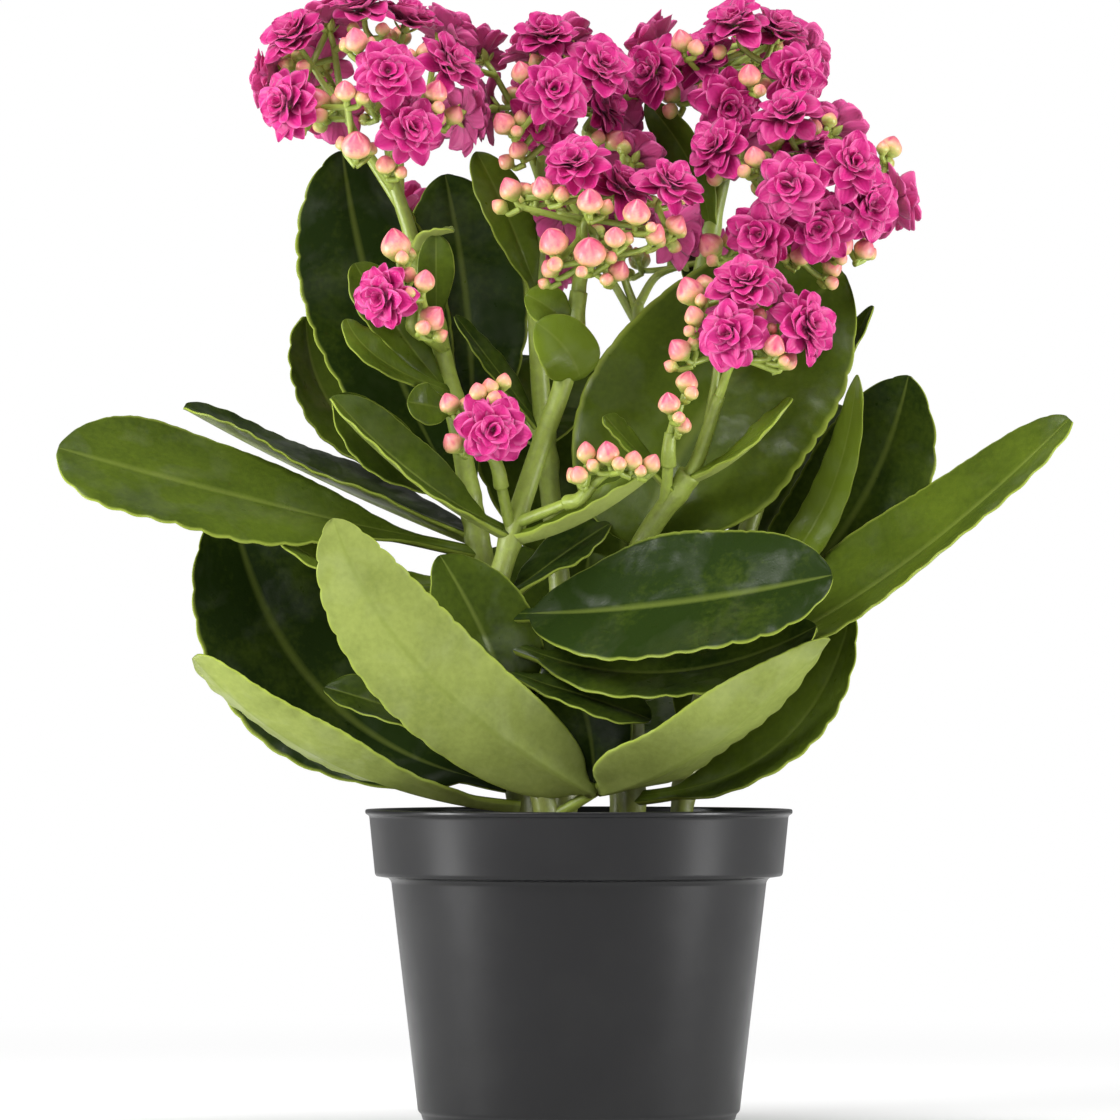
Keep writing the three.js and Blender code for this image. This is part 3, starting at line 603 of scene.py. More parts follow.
@dataclass(frozen=True)
class BudFinish:
    """A closed bud: salmon pink above a yellow-green foot, with pale streaks of painted highlight and deep
    pink seams.
    """

    foot: Tint = Tint(0.38, 0.4, 0.09)
    peach: Tint = Tint(0.68, 0.31, 0.19)
    salmon: Tint = Tint(0.64, 0.15, 0.18)
    tip: Tint = Tint(0.55, 0.06, 0.15)
    # painted highlight: the pale colour laid in streaks up the bud's sides
    painted_highlight: Tint = Tint(0.88, 0.56, 0.42)
    painted_highlight_cover: float = 0.6
    seam: Tint = Tint(0.5, 0.03, 0.12)
    seam_cover: float = 0.85
    fleck: Lumps = Lumps(1300.0, 3.0, -0.09, 0.09)
    roughness: float = 0.4
    grain: Lumps = Lumps(1500.0, 2.0)

    def material(self) -> Finish:
        """Makes the material from the values along, seam, streak and tone of each point.

        Returns:
            The material.
        """
        wires = Wiring("salmon_bud", self.roughness)
        height = wires.total(wires.value("along"), wires.stretched(self.fleck))
        ripening = [(0.15, self.foot), (0.42, self.peach), (0.66, self.salmon), (0.97, self.tip)]
        ripe = wires.ramp(height, ripening)
        young = wires.ramp(height, [(0.3, self.foot), (0.7, self.peach), (1.0, self.salmon)])
        body = wires.mix(wires.value("tone"), young, ripe)
        # Painted highlight: pale streaks up the bud, stronger towards its top and on ripe buds.
        painted_highlight_share = wires.span(wires.value("streak"), (0.5, 0.95), (0.0, self.painted_highlight_cover))
        pale = wires.product(painted_highlight_share, wires.value("along"), wires.value("tone"))
        groove = wires.span(wires.value("seam"), (0.25, 0.9), (0.0, self.seam_cover))
        line = wires.product(groove, wires.value("tone"))
        wires.feed(wires.mix(line, wires.mix(pale, body, self.painted_highlight), self.seam), "Base Color")
        wires.bump(wires.noise(self.grain), 0.12, 0.4)
        return wires.material


@dataclass(frozen=True)
class PlasticFinish:
    """Satin black moulded plastic, with a fine grain and faint dust."""

    black: Tint = Tint(0.006, 0.006, 0.0066)
    dusty: Tint = Tint(0.011, 0.011, 0.011)
    dust: Lumps = Lumps(42.0, 6.0, 0.0, 0.55, 0.0, (0.45, 0.8))
    satin: Lumps = Lumps(130.0, 5.0, 0.28, 0.33)
    specular: float = 0.24
    grain: Lumps = Lumps(2600.0, 2.0)

    def material(self) -> Finish:
        """Makes the material.

        Returns:
            The material.
        """
        wires = Wiring("satin_black_plastic", self.satin.low)
        wires.feed(wires.mix(wires.stretched(self.dust), self.black, self.dusty), "Base Color")
        wires.feed(wires.stretched(self.satin), "Roughness")
        wires.bump(wires.noise(self.grain), 0.05, 0.35)
        wires.set("Specular IOR Level", self.specular)
        return wires.material


@dataclass(frozen=True)
class PeatFinish:
    """Moist crumbled peat: dark brown, with paler fibres."""

    dark: Tint = Tint(0.014, 0.009, 0.006)
    brown: Tint = Tint(0.075, 0.045, 0.027)
    fibre: Tint = Tint(0.2, 0.13, 0.075)
    cloud: Lumps = Lumps(480.0, 6.0, -0.2, 0.25, 0.4)
    roughness: float = 0.93
    grain: Lumps = Lumps(1500.0, 6.0)

    def material(self) -> Finish:
        """Makes the material from the value tone of each point.

        Returns:
            The material.
        """
        wires = Wiring("moist_peat", self.roughness)
        shade = wires.total(wires.value("tone"), wires.stretched(self.cloud))
        wires.feed(wires.ramp(shade, [(0.05, self.dark), (0.5, self.brown), (1.0, self.fibre)]), "Base Color")
        wires.bump(wires.noise(self.grain), 0.5, 0.8)
        return wires.material


def frames_along(path: np.ndarray, helper: np.ndarray) -> tuple[np.ndarray, np.ndarray]:
    """Two directions square to a path: its run crossed with a helper, and that crossed with its run.

    Args:
        path: places along the path.
        helper: a direction that the path doesn't run along.

    Returns:
        The side direction and the face direction at each place.
    """
    run = unit(np.gradient(path, axis=0))
    side = unit(np.cross(run, helper))
    return side, np.cross(side, run)


def limb(path: np.ndarray, radii: np.ndarray, sides: int, ridge: float = 0.0) -> np.ndarray:
    """The rings of a round limb: at each place a circle of that place's radius, square to the path,
    with a few low ridges that turn slowly round it.

    Args:
        path: places along its middle line.
        radii: its radius at each place.
        sides: how many points a ring has.
        ridge: how high the ridges are, as a share of the radius.

    Returns:
        The rings, in the shape (places, sides, 3).
    """
    ridges, slow_turn = 4.0, 3.0
    helper = np.eye(3)[np.argmin(np.abs(path[-1] - path[0]))]
    side, face = frames_along(path, helper)
    turn = turns(sides)[None, :, None]
    along = np.linspace(0.0, 1.0, len(path))[:, None, None]
    radius = radii[:, None, None] * (1.0 + ridge * np.sin(ridges * turn + slow_turn * along))
    return path[:, None] + radius * (np.cos(turn) * side[:, None] + np.sin(turn) * face[:, None])


@dataclass(frozen=True)
class Leaf:
    """A fleshy leaf with scalloped edges, along a rib that bends through a middle point.

    The tone runs from 0, an old dark leaf, to 1, a young lime one; it is matched to how dark each
    leaf looks, so a low tone is also painted shade on leaves that lie in shade. The fold is the angle
    by which its two halves rise from the rib, in degrees. The stalk is the bare share of its length,
    the heel how broad the blade is where it starts, and the belly how far out it is fullest.
    """

    base: Triple
    via: Triple
    tip: Triple
    width: float
    up: Triple
    tone: float = 0.3
    fold: float = 12.0
    stalk: float = 0.12
    heel: float = 0.7
    belly: float = 1.1

    STALK_HALF = 2.2
    HALF_THICKNESS = 1.25
    THINNEST_EDGE = 0.25
    NARROWEST = 0.3
    SCALLOP_MM = 7.6
    SCALLOP_DEPTH = 0.95
    SMOOTH_WIDTH = 7.0
    TOOTHED_WIDTH = 12.0
    GROOVE_DEPTH, GROOVE_HALF = 0.75, 1.5
    KEEL_DEPTH, KEEL_HALF = 1.15, 2.0
    TWIST, FOLD_SPREAD = 14.0, 5.0
    SWING, SWINGS = 0.05, 1.9
    FLUTTER = 0.28
    SECTION_POWER, BACK_POWER = 1.35, 0.6
    COLUMNS = 36
    ROWS_A_MM, ROW_LIMITS = 0.8, (24, 88)
    LAST_ROW, CROWDING = 0.985, 1.6

    def length(self) -> float:
        """Its length, measured over its middle point, in millimetres."""
        foot, middle, end = (np.array(place, float) for place in (self.base, self.via, self.tip))
        return np.linalg.norm(middle - foot) + np.linalg.norm(end - middle)

    def rib(self) -> tuple[np.ndarray, np.ndarray, np.ndarray]:
        """The rib: a quadratic curve through the middle point, with its places closer near the tip.

        Returns:
            The shares of the length, the rib's places there, and its run there.
        """
        foot, middle, end = (np.array(place, float) for place in (self.base, self.via, self.tip))
        control = 2.0 * middle - 0.5 * (foot + end)
        rows = int(np.clip(self.ROWS_A_MM * self.length(), *self.ROW_LIMITS))
        t = (1.0 - (1.0 - np.linspace(0.0, self.LAST_ROW, rows)) ** self.CROWDING)[:, None]
        places = (1.0 - t) ** 2 * foot + 2.0 * t * (1.0 - t) * control + t**2 * end
        return t, places, unit(2.0 * (1.0 - t) * (control - foot) + 2.0 * t * (end - control))

    def half_width(self, t: np.ndarray) -> np.ndarray:
        """Half the blade's width along the leaf: a narrow stalk that widens into a blunt oval.

        Args:
            t: shares of the leaf's length.

        Returns:
            The half width at each share, in millimetres.
        """
        s = np.clip((t - self.stalk) / (1.0 - self.stalk), 0.0, 1.0) ** self.belly
        blade = self.width * np.clip(1.0 - np.abs(2.0 * s - 1.0) ** 2.4, 0.0, 1.0) ** 0.58
        blade = blade * (self.heel + (1.0 - self.heel) * smooth(t, self.stalk, 0.6))
        stalk = self.STALK_HALF * (1.0 - smooth(t, 0.5, 1.0))
        return np.sqrt(blade**2 + stalk**2)

    def thickness(self, t: np.ndarray) -> np.ndarray:
        """Half the blade's thickness at its rib: less in a narrow leaf, and less towards the tip.

        Args:
            t: shares of the leaf's length.

        Returns:
            The half thickness at each share, in millimetres.
        """
        stout = 0.72 + 0.28 * min(1.0, self.width / self.TOOTHED_WIDTH)
        thick = self.HALF_THICKNESS * stout * (1.0 - 0.42 * t)
        return np.minimum(thick, 0.75 * self.half_width(t) + self.THINNEST_EDGE)

    def teeth(self, t: np.ndarray, across: np.ndarray, number: int) -> np.ndarray:
        """Where a place is along the row of teeth, in teeth: the far edge is half a tooth behind the
        near one, and the teeth are slightly uneven.

        Args:
            t: shares of the leaf's length.
            across: shares of the half width.
            number: the leaf's number, for its draws.

        Returns:
            The place along the row.
        """
        count = max(3, round(self.length() / self.SCALLOP_MM))
        uneven = 0.35 * draw(number, 13) * np.sin(9.0 * t)
        return count * t + draw(number, 12) + 0.5 * (across > 0) + uneven

    def reach(self, t: np.ndarray, across: np.ndarray, tooth: np.ndarray) -> np.ndarray:
        """How far the section reaches to each side: the half width, pulled in by rounded teeth that
        meet in narrow notches.

        Args:
            t: shares of the leaf's length.
            across: shares of the half width.
            tooth: places along the row of teeth.

        Returns:
            The reach, in millimetres.
        """
        notch = 1.0 - np.sqrt(np.clip(1.0 - np.abs(2.0 * (tooth % 1.0) - 1.0) ** 2.4, 0.0, 1.0))
        broad = (self.width - self.SMOOTH_WIDTH) / (self.TOOTHED_WIDTH - self.SMOOTH_WIDTH)
        depth = self.SCALLOP_DEPTH * min(1.0, max(0.0, broad))
        bitten = depth * notch * smooth(t, 0.22, 0.42) * across**4
        return np.maximum(self.half_width(t) - bitten, self.NARROWEST)

    def lift(
        self, t: np.ndarray, phi: np.ndarray, reach: np.ndarray, tooth: np.ndarray, number: int
    ) -> np.ndarray:
        """How far each place lies above the rib: its halves rise by the fold and wave up and down,
        a groove runs along the upper rib and a keel along the lower one.

        Args:
            t: shares of the leaf's length.
            phi: the turn of each place round the section.
            reach: how far the section reaches to each side.
            tooth: places along the row of teeth.
            number: the leaf's number, for its draws.

        Returns:
            The lift, in millimetres.
        """
        across = flattened(np.cos(phi), self.SECTION_POWER)
        height = flattened(np.sin(phi), self.BACK_POWER)
        blade = smooth(t, 0.08, 0.3)
        groove = self.GROOVE_DEPTH * blade * (1.0 - 0.6 * t) * bell(across * reach, self.GROOVE_HALF)
        keel = self.KEEL_DEPTH * (1.0 - t) * bell(across * reach, self.KEEL_HALF)
        halves = math.sin(self.rise(number)) * reach * np.abs(across) ** 1.25
        waves = np.sin(2.0 * np.pi * (self.SWINGS * t + draw(number, 15)) + 2.2 * across)
        swing = self.SWING * self.width * across**2 * blade * waves
        flutter = self.FLUTTER * across**6 * np.cos(2.0 * np.pi * tooth) * blade
        skin = height * self.thickness(t) - groove * (height > 0) - keel * (height < 0)
        return halves + swing + flutter + skin

    def rise(self, number: int) -> float:
        """The angle by which its halves rise, with its draw, in radians."""
        return math.radians(self.fold + self.FOLD_SPREAD * (draw(number, 14) - 0.5))

    def build(self, skin: Skin, number: int) -> None:
        """Adds the leaf: at each place of its rib a flat rounded section, thick at the rib, which
        twists slowly towards the tip.

        Args:
            skin: the mesh that it is added to.
            number: the leaf's number, for its draws.
        """
        t, rib, run = self.rib()
        twist = np.radians(self.TWIST * (draw(number, 11) - 0.5)) * t
        flat = unit(np.cross(run, np.array(self.up, float)))
        square = np.cross(flat, run)
        side = flat * np.cos(twist) + square * np.sin(twist)
        face = square * np.cos(twist) - flat * np.sin(twist)
        phi = turns(self.COLUMNS)[None, :]
        across = flattened(np.cos(phi), self.SECTION_POWER)
        tooth = self.teeth(t, across, number)
        reach = self.reach(t, across, tooth)
        out = math.cos(self.rise(number)) * reach * across
        lift = self.lift(t, phi, reach, tooth, number)
        rings = rib[:, None] + out[..., None] * side[:, None] + lift[..., None] * face[:, None]
        skin.add(rings, along=t, across=across, upper=0.5 + 0.5 * np.sin(phi), tone=self.tone)


@dataclass(frozen=True)
class Shade:
    """A leaf of the far side: its height on the stem, bearing in degrees, length, half width, and
    how far it rises, as a share of its length."""

    height: float
    bearing: float
    length: float
    width: float
    lift: float

    def leaf(self, start: np.ndarray, index: int) -> Leaf:
        """The leaf: it leaves the stem level, rises on the way and levels out again.

        Args:
            start: the place on the stem.
            index: the leaf's number on its stem.

        Returns:
            The leaf.
        """
        angle = math.radians(self.bearing)
        out = np.array([math.cos(angle), math.sin(angle), 0.0])
        level = self.length * math.cos(self.lift)
        rise = self.length * self.lift
        via = start + 0.6 * level * out + np.array([0.0, 0.0, 0.55 * rise])
        tip = start + level * out + np.array([0.0, 0.0, rise])
        up = (-self.lift * out[0], -self.lift * out[1], 0.6)
        # Far-side leaves all get a low tone: painted shade for leaves that stand behind the plant, on top of
        # their own green.
        tone = 0.05 + 0.25 * draw(index, 21)
        return Leaf(tuple(start), tuple(via), tuple(tip), self.width, up, tone, heel=0.9)


@dataclass(frozen=True)
class Stem:
    """A leafy stem: its path from its soil hole up, its radius at foot and tip, its leaves, the twigs
    that carry a spray, and the leaves of its far side."""

    path: list[Triple]
    radii: Pair
    leaves: list[Leaf]
    twigs: list[Twig] = field(default_factory=list)
    far: list[Shade] = field(default_factory=list)

    SIDES, PLACES_A_POINT = 20, 30
    TWIG_SIDES, TWIG_PLACES = 12, 12
    TWIG_RADII = (1.75, 1.45)
    SWELLING, SWELLING_REACH = 0.75, 3.6
    WOODY, GREEN = 90.0, 215.0
    RIDGE, TWIG_RIDGE = 0.035, 0.03
    TWIG_TONE = 0.42

    def at(self, height: float) -> np.ndarray:
        """The place of the straight path between the stem's points at a height."""
        points = np.array(self.path, float)
        return np.array([np.interp(height, points[:, 2], points[:, axis]) for axis in range(3)])

    def build(self, name: str, twigs: list[Twig], leaf: Finish, stalk: Finish) -> None:
        """Builds the stem with its leaves and twigs, in two pieces of which the leaves stand for its
        solid: the stalk swells where a leaf leaves it, and is woody below and green above.

        Args:
            name: the solid's name.
            twigs: more twigs, for heads of the far side.
            leaf: the finish of its leaves.
            stalk: the finish of its stalk.
        """
        far = [row.leaf(self.at(row.height), index) for index, row in enumerate(self.far)]
        leaves = [*self.leaves, *far]
        blades = Skin()
        for number, spec in enumerate(leaves):
            spec.build(blades, number + 40 * len(self.path) + len(name))
        blades.make(name + "_leaves", leaf, "foliage", [name])
        wood = Skin()
        path = curve_through(np.array(self.path, float), self.PLACES_A_POINT * len(self.path))
        share = np.linspace(0.0, 1.0, len(path))
        bases = np.array([spec.base for spec in leaves], float)
        near = np.linalg.norm(path[:, None] - bases[None], axis=-1)
        swell = self.SWELLING * bell(near, self.SWELLING_REACH).max(axis=1)
        radii = self.radii[0] + (self.radii[1] - self.radii[0]) * share + swell
        age = 0.02 + 0.4 * smooth(path[:, 2], self.WOODY, self.GREEN)
        wood.add(limb(path, radii, self.SIDES, self.RIDGE), tone=age[:, None], along=share[:, None])
        for start, end in [*self.twigs, *twigs]:
            points = curve_through(np.array([start, end], float), self.TWIG_PLACES)
            share = np.linspace(0.0, 1.0, len(points))
            radii = self.TWIG_RADII[0] + (self.TWIG_RADII[1] - self.TWIG_RADII[0]) * share
            rings = limb(points, radii, self.TWIG_SIDES, self.TWIG_RIDGE)
            wood.add(rings, tone=self.TWIG_TONE, along=share[:, None])
        wood.make(name + "_stalk", stalk, "foliage", [])


STEMS = {
    "leafy_stem_front": Stem(
        path=[(-9, -13, 54), (-9, -13, 90), (-16, -12, 112), (-23, -12, 132), (-24, -12, 148),
              (-19, -11, 168), (-11, -10, 193), (-4, -10, 213), (0, -9, 237)],
        radii=(3.5, 2.5),
        twigs=[((-19, -11, 170), (-22, -20, 184)), ((-18, -11, 172), (-2, -24, 178)),
               ((-9, -13, 89), (6, -14, 98))],
        leaves=[
            Leaf((-22, -12, 146), (24, -34, 149), (70, -44, 157),
                 23, (0, -0.82, 0.57), -0.04, 8, 0.1, 0.85, 1.0),
            Leaf((-22, -12, 139), (23, -27, 130), (66, -35, 143), 15, (0, -0.62, 0.78), 0.14, 8, heel=0.9),
            Leaf((-21, -13, 130), (0, -22, 124), (20, -27, 117), 9, (0.2, -0.5, 0.8), tone=0.1),
            Leaf((4, -15, 97), (-43, -36, 131), (-68, -44, 173),
                 16, (-0.25, 0.85, 0.45), 0.6, 12, 0.03, 1, 0.8),
            Leaf((4, -13, 98), (2, -14, 118), (-6, -13, 138), 13, (0.05, -1, 0.1), 0.03, 8, 0.05, 0.9, 1),
            Leaf((6, -15, 98), (34, -35, 110), (69, -44, 140),
                 15, (-0.3, 0.6, 0.75), 0.55, 18, 0.03, 1, 0.75),
            Leaf((-20, -11, 151), (-6, -5, 162), (9, -3, 172), 10, (-0.5, -0.5, 0.7), tone=0.08),
            Leaf((-20, -12, 169), (-46, -22, 185), (-69, -24, 207), 12, (0.45, -0.55, 0.7), 0.3, 25),
            Leaf((-18, -12, 168), (2, -22, 174), (22, -26, 187), 6, (-0.3, -0.3, 0.9), tone=0.75, fold=35),
            Leaf((0, -10, 213), (-4, -16, 221), (-12, -18, 228), 8.5, (0, -0.95, 0.3), 1.0, 5, 0.02, 1, 0.8),
            Leaf((-2, -10, 227), (-8, -14, 232), (-15, -15, 236), 6, (0, -0.9, 0.4), 0.9, heel=1),
        ],
    ),
    "leafy_stem_right": Stem(
        path=[(15, 0, 54), (15, 0, 90), (15, -2, 130), (16, -6, 162), (31, -14, 186)],
        radii=(3.8, 2.8),
        twigs=[((24, -11, 177), (25, -20, 190))],
        leaves=[
            Leaf((16, -2, 95), (56, -15, 110), (76, -20, 147), 14, (-0.5, -0.6, 0.6), tone=0.5),
            Leaf((17, -4, 124), (76, -16, 150), (137, -22, 201), 22, (-0.35, -0.5, 0.85), 0.45, 14),
            Leaf((17, -3, 134), (67, 10, 161), (93, 4, 214), 20, (-0.3, -0.95, 0.2), 0.15, 10, belly=1.4),
            Leaf((17, -4, 142), (60, -2, 163), (78, -6, 214), 6, (-0.5, -0.85, 0.1), 1.0, 5),
            Leaf((17, -5, 162), (36, 5, 204), (75, 8, 243),
                 34, (-0.2, -0.95, 0.25), 0.45, 6, 0.04, 0.95, 0.95),
            Leaf((27, -13, 181), (14, -18, 194), (7, -20, 202), 5, (0.5, -0.5, 0.7), tone=0.55),
            Leaf((31, -14, 185), (46, -22, 193), (59, -24, 207), 6, (-0.4, -0.3, 0.85), tone=0.95),
        ],
    ),
    "leafy_stem_left": Stem(
        path=[(-16, 2, 54), (-16, 2, 90), (-21, 4, 130), (-29, 4, 170), (-35, 2, 205), (-40, 0, 227),
              (-47, -2, 252)],
        radii=(3.7, 2.2),
        twigs=[((-38, 0, 221), (-45, -12, 226))],
        leaves=[
            Leaf((-17, 2, 98), (-71, 12, 123), (-98, 6, 178), 25, (0.25, -0.93, 0.25), tone=0.03, fold=10),
            Leaf((-17, -1, 108), (-24, -17, 134), (-39, -21, 163),
                 16, (0.25, -0.85, 0.4), 0.3, 12, 0.06, 0.95, 1.0),
            Leaf((-18, 1, 106), (-46, -18, 118), (-71, -22, 126), 9, (0.3, -0.6, 0.75), tone=0.18),
            Leaf((-17, -1, 93), (-68, -16, 106), (-107, -26, 135), 15, (0.3, 0.3, 0.9), tone=0.6),
            Leaf((-28, 3, 164), (-90, -6, 178), (-146, -10, 193),
                 25, (0.2, -0.55, 0.8), 0.4, 5, heel=0.6, belly=1.6),
            Leaf((-27, 2, 156), (-58, -8, 156), (-86, -12, 170), 10, (0.2, -0.35, 0.9), tone=0.5),
            Leaf((-29, 5, 168), (-72, 20, 186), (-112, 24, 206),
                 18, (0.35, -0.2, 0.92), 0.15, 10, 0.03, 1, 1.0),
            Leaf((-30, 6, 175), (-54, 12, 222), (-67, 14, 278), 21, (0.25, -0.92, 0.3), tone=0.0, fold=8),
            Leaf((-31, 6, 182), (-31, 22, 226), (-38, 25, 272), 17.5, (0, -1, 0.1), tone=0.04, fold=6),
            Leaf((-30, 8, 178), (-66, 32, 200), (-78, 36, 232), 12, (0.5, -0.8, 0.3), tone=0.45),
            Leaf((-31, 2, 180), (-52, -8, 190), (-68, -12, 208), 11, (0.3, -0.75, 0.6), tone=0.2),
            Leaf((-36, 1, 207), (-52, -6, 228), (-63, -8, 245), 9, (0.4, -0.8, 0.45), tone=0.4),
            Leaf((-37, -1, 209), (-56, -16, 218), (-65, -18, 229), 5, (0.3, -0.8, 0.5), tone=0.45),
            Leaf((-36, -1, 204), (-42, -10, 205), (-48, -14, 206), 6, (0.2, -0.9, 0.3), tone=0.4),
            Leaf((-46, -2, 249), (-41, -8, 253), (-35, -12, 254), 4, (0.2, -0.3, 0.9), tone=0.95),
            Leaf((-40, -1, 228), (-40, -8, 242), (-40, -10, 253), 5, (0, -1, 0.2), tone=0.4),
        ],
        far=[Shade(97, 100, 58, 20, 1.2), Shade(118, 138, 70, 22, 0.6)],
    ),
    "leafy_stem_back": Stem(
        path=[(-4, 22, 54), (-4, 22, 90), (-5, 20, 150), (-10, 13, 200), (-12, 9, 236), (-11, 8, 262)],
        radii=(3.6, 2.2),
        leaves=[
            Leaf((-12, 8, 236), (-19, 2, 256), (-29, 3, 277), 8, (0.5, -0.8, 0.3), 0.55),
            Leaf((-10, 13, 198), (-22, 10, 214), (-35, 8, 231), 4, (0.4, -0.6, 0.6), tone=0.1),
        ],
        far=[Shade(95, 70, 58, 21, 1.2), Shade(104, 128, 74, 22, 0.45), Shade(150, 100, 62, 24, 1.15),
             Shade(190, 100, 58, 18, 0.55)],
    ),
    "leafy_stem_top_right": Stem(
        path=[(12, 34, 54), (12, 34, 90), (20, 36, 160), (32, 34, 230), (42, 24, 276)],
        radii=(3.4, 2.2),
        leaves=[Leaf((38, 29, 256), (32, 18, 274), (19, 12, 292), 6, (-0.4, -0.9, 0.1), 0.55)],
        far=[Shade(98, 60, 66, 21, 0.5), Shade(122, 98, 62, 22, 1.1), Shade(180, 62, 62, 20, 0.9),
             Shade(236, 70, 40, 12, 0.5)],
    ),
    "leafy_stem_back_right": Stem(
        path=[(29, 18, 54), (29, 18, 90), (42, 24, 150), (56, 24, 200), (60, 18, 238)],
        radii=(3.4, 2.2),
        leaves=[
            Leaf((56, 23, 203), (70, 14, 214), (83, 10, 234), 6, (-0.5, -0.6, 0.6), tone=0.32),
            Leaf((59, 20, 226), (68, 16, 231), (77, 14, 238), 5, (-0.3, -0.6, 0.7), tone=0.1),
        ],
        far=[Shade(98, 48, 62, 20, 1.0), Shade(112, 30, 52, 17, 0.45), Shade(150, 40, 64, 21, 0.9),
             Shade(200, 85, 46, 16, 0.55)],
    ),
}


class Kind(Enum):
    """What stands at the end of a flower stalk."""

    BLOOM = "bloom"
    BUD = "bud"


@dataclass
class Flower:
    """A bloom or a bud: its centre, its radius, how it is turned, and its stalk."""

    kind: Kind
    centre: np.ndarray
    radius: float
    spin: float
    number: int
    route: list[np.ndarray] = field(default_factory=list)
    axis: np.ndarray = field(default_factory=lambda: np.array([0.0, 0.0, 1.0]))

    BLOOM_NECK = 0.42
    BUD_NECK = 1.1

    def neck_share(self) -> float:
        """How far its neck lies under its centre, in shares of its radius."""
        return self.BLOOM_NECK if self.kind is Kind.BLOOM else self.BUD_NECK

    def neck(self) -> np.ndarray:
        """The place where the stalk meets the calyx."""
        return self.centre - self.neck_share() * self.radius * self.axis

    def basis(self) -> np.ndarray:
        """The flower's own directions.

        Returns:
            Rows of two directions square to the axis, and the axis.
        """
        helper = np.array([0.0, 1.0, 0.0]) if abs(self.axis[2]) > 0.8 else np.array([0.0, 0.0, 1.0])
        first = unit(helper - np.dot(helper, self.axis) * self.axis)
        return np.stack([first, np.cross(self.axis, first), self.axis])

    def place(self, local: np.ndarray) -> np.ndarray:
        """Places given along the flower's own directions, moved to where the flower is."""
        return self.centre + local @ self.basis()


@dataclass(frozen=True)
class Whorl:
    """One ring of petals: how many, their reach and half width in shares of the bloom's radius, the
    angle at which they leave the middle, how they bend outwards, in degrees, and the foot's height."""

    count: int
    reach: float
    half: float
    rise: float
    bend: float
    foot: float


@dataclass(frozen=True)
class Bloom:
    """A double bloom: whorls of pointed oval petals, the outer ones flat, the inner ones upright. The
    spreads are how far single petals differ: in bearing, rise and bend, in reach and in width."""

    whorls: tuple[Whorl, ...] = (
        Whorl(8, 1.05, 0.36, 12.0, -22.0, -0.15),
        Whorl(7, 0.98, 0.36, 28.0, -28.0, -0.08),
        Whorl(6, 0.84, 0.33, 44.0, -32.0, 0.0),
        Whorl(5, 0.64, 0.29, 58.0, -34.0, 0.07),
        Whorl(4, 0.44, 0.23, 72.0, -26.0, 0.12),
    )
    rows: int = 9
    columns: int = 8
    thickness: float = 0.2
    bearing_spread: float = 0.5
    rise_spread: float = 32.0
    bend_spread: float = 50.0
    reach_spread: float = 0.2
    width_spread: float = 0.3
    foot_reach: float = 0.08

    def build(self, skin: Skin, flower: Flower) -> None:
        """Adds the petals, whorl after whorl, each whorl turned on from the one outside it.

        Args:
            skin: the mesh that it is added to.
            flower: where the bloom is.
        """
        turn = flower.spin
        for tier, whorl in enumerate(self.whorls):
            seed = 31.0 * flower.number + 7.0 * tier
            turn += math.pi / whorl.count + 0.4 * draw(seed, 6)
            self.petals(skin, flower, tier, turn, seed)

    def petals(self, skin: Skin, flower: Flower, tier: int, turn: float, seed: float) -> None:
        """Adds one whorl: each petal is a flat rounded section along a rib that leaves the middle at
        its rise and bends outwards, widest near its half, cupped, creased, and pointed at its tip.

        Args:
            skin: the mesh that it is added to.
            flower: where the bloom is.
            tier: the whorl's number, from outside.
            turn: the bearing of its first petal.
            seed: the number that its draws start from.
        """
        whorl = self.whorls[tier]
        s = np.linspace(0.02, 0.985, self.rows)[None, :, None]
        phi = turns(self.columns)[None, None, :]
        across, height = np.cos(phi), flattened(np.sin(phi), 0.7)
        swerve, tilt, curl, longer, wider = (
            draws(whorl.count, kind, seed)[:, None, None] - 0.5 for kind in (1, 2, 3, 4, 5)
        )
        bearing = turn + turns(whorl.count)[:, None, None] + self.bearing_spread * swerve
        bend = np.radians(whorl.bend + self.bend_spread * curl)
        slope = np.radians(whorl.rise + self.rise_spread * tilt) + bend * s**1.4
        reach = whorl.reach * flower.radius * (1.0 + self.reach_spread * longer)
        step = np.diff(s, axis=1) * reach
        start = 0 * slope[:, :1]
        out = np.concatenate([self.foot_reach * reach + start, np.cos(slope[:, 1:]) * step], axis=1)
        up = np.concatenate([whorl.foot * flower.radius + start, np.sin(slope[:, 1:]) * step], axis=1)
        oval = (1.0 - np.abs(2.0 * s**1.2 - 1.0) ** 2.0) ** 0.76
        half = whorl.half * flower.radius * (1.0 + self.width_spread * wider) * oval
        cup = 0.5 * half * across**2 * (1.0 - 0.7 * s)
        ruffle = 0.24 * half * across * np.sin(6.0 * s + 12.0 * tilt)
        crease = 0.1 * half * bell(across, 0.3)
        lift = cup + ruffle - crease + self.thickness * height * np.minimum(1.0, 3.0 * (1.02 - s))
        along_rib = np.cumsum(out, axis=1) - lift * np.sin(slope)
        above = np.cumsum(up, axis=1) + lift * np.cos(slope)
        local = around(bearing, along_rib, half * across, above)
        # Inner whorls get a slightly lower tone: painted shade inside the bloom; the rest of the tone varies
        # at random.
        tone = 0.1 * curl + 0.09 * (draw(flower.number, 9) - 0.5) - 0.03 * tier
        skin.add(flower.place(local), along=s, across=across, upper=0.5 + 0.5 * np.sin(phi), tone=tone)


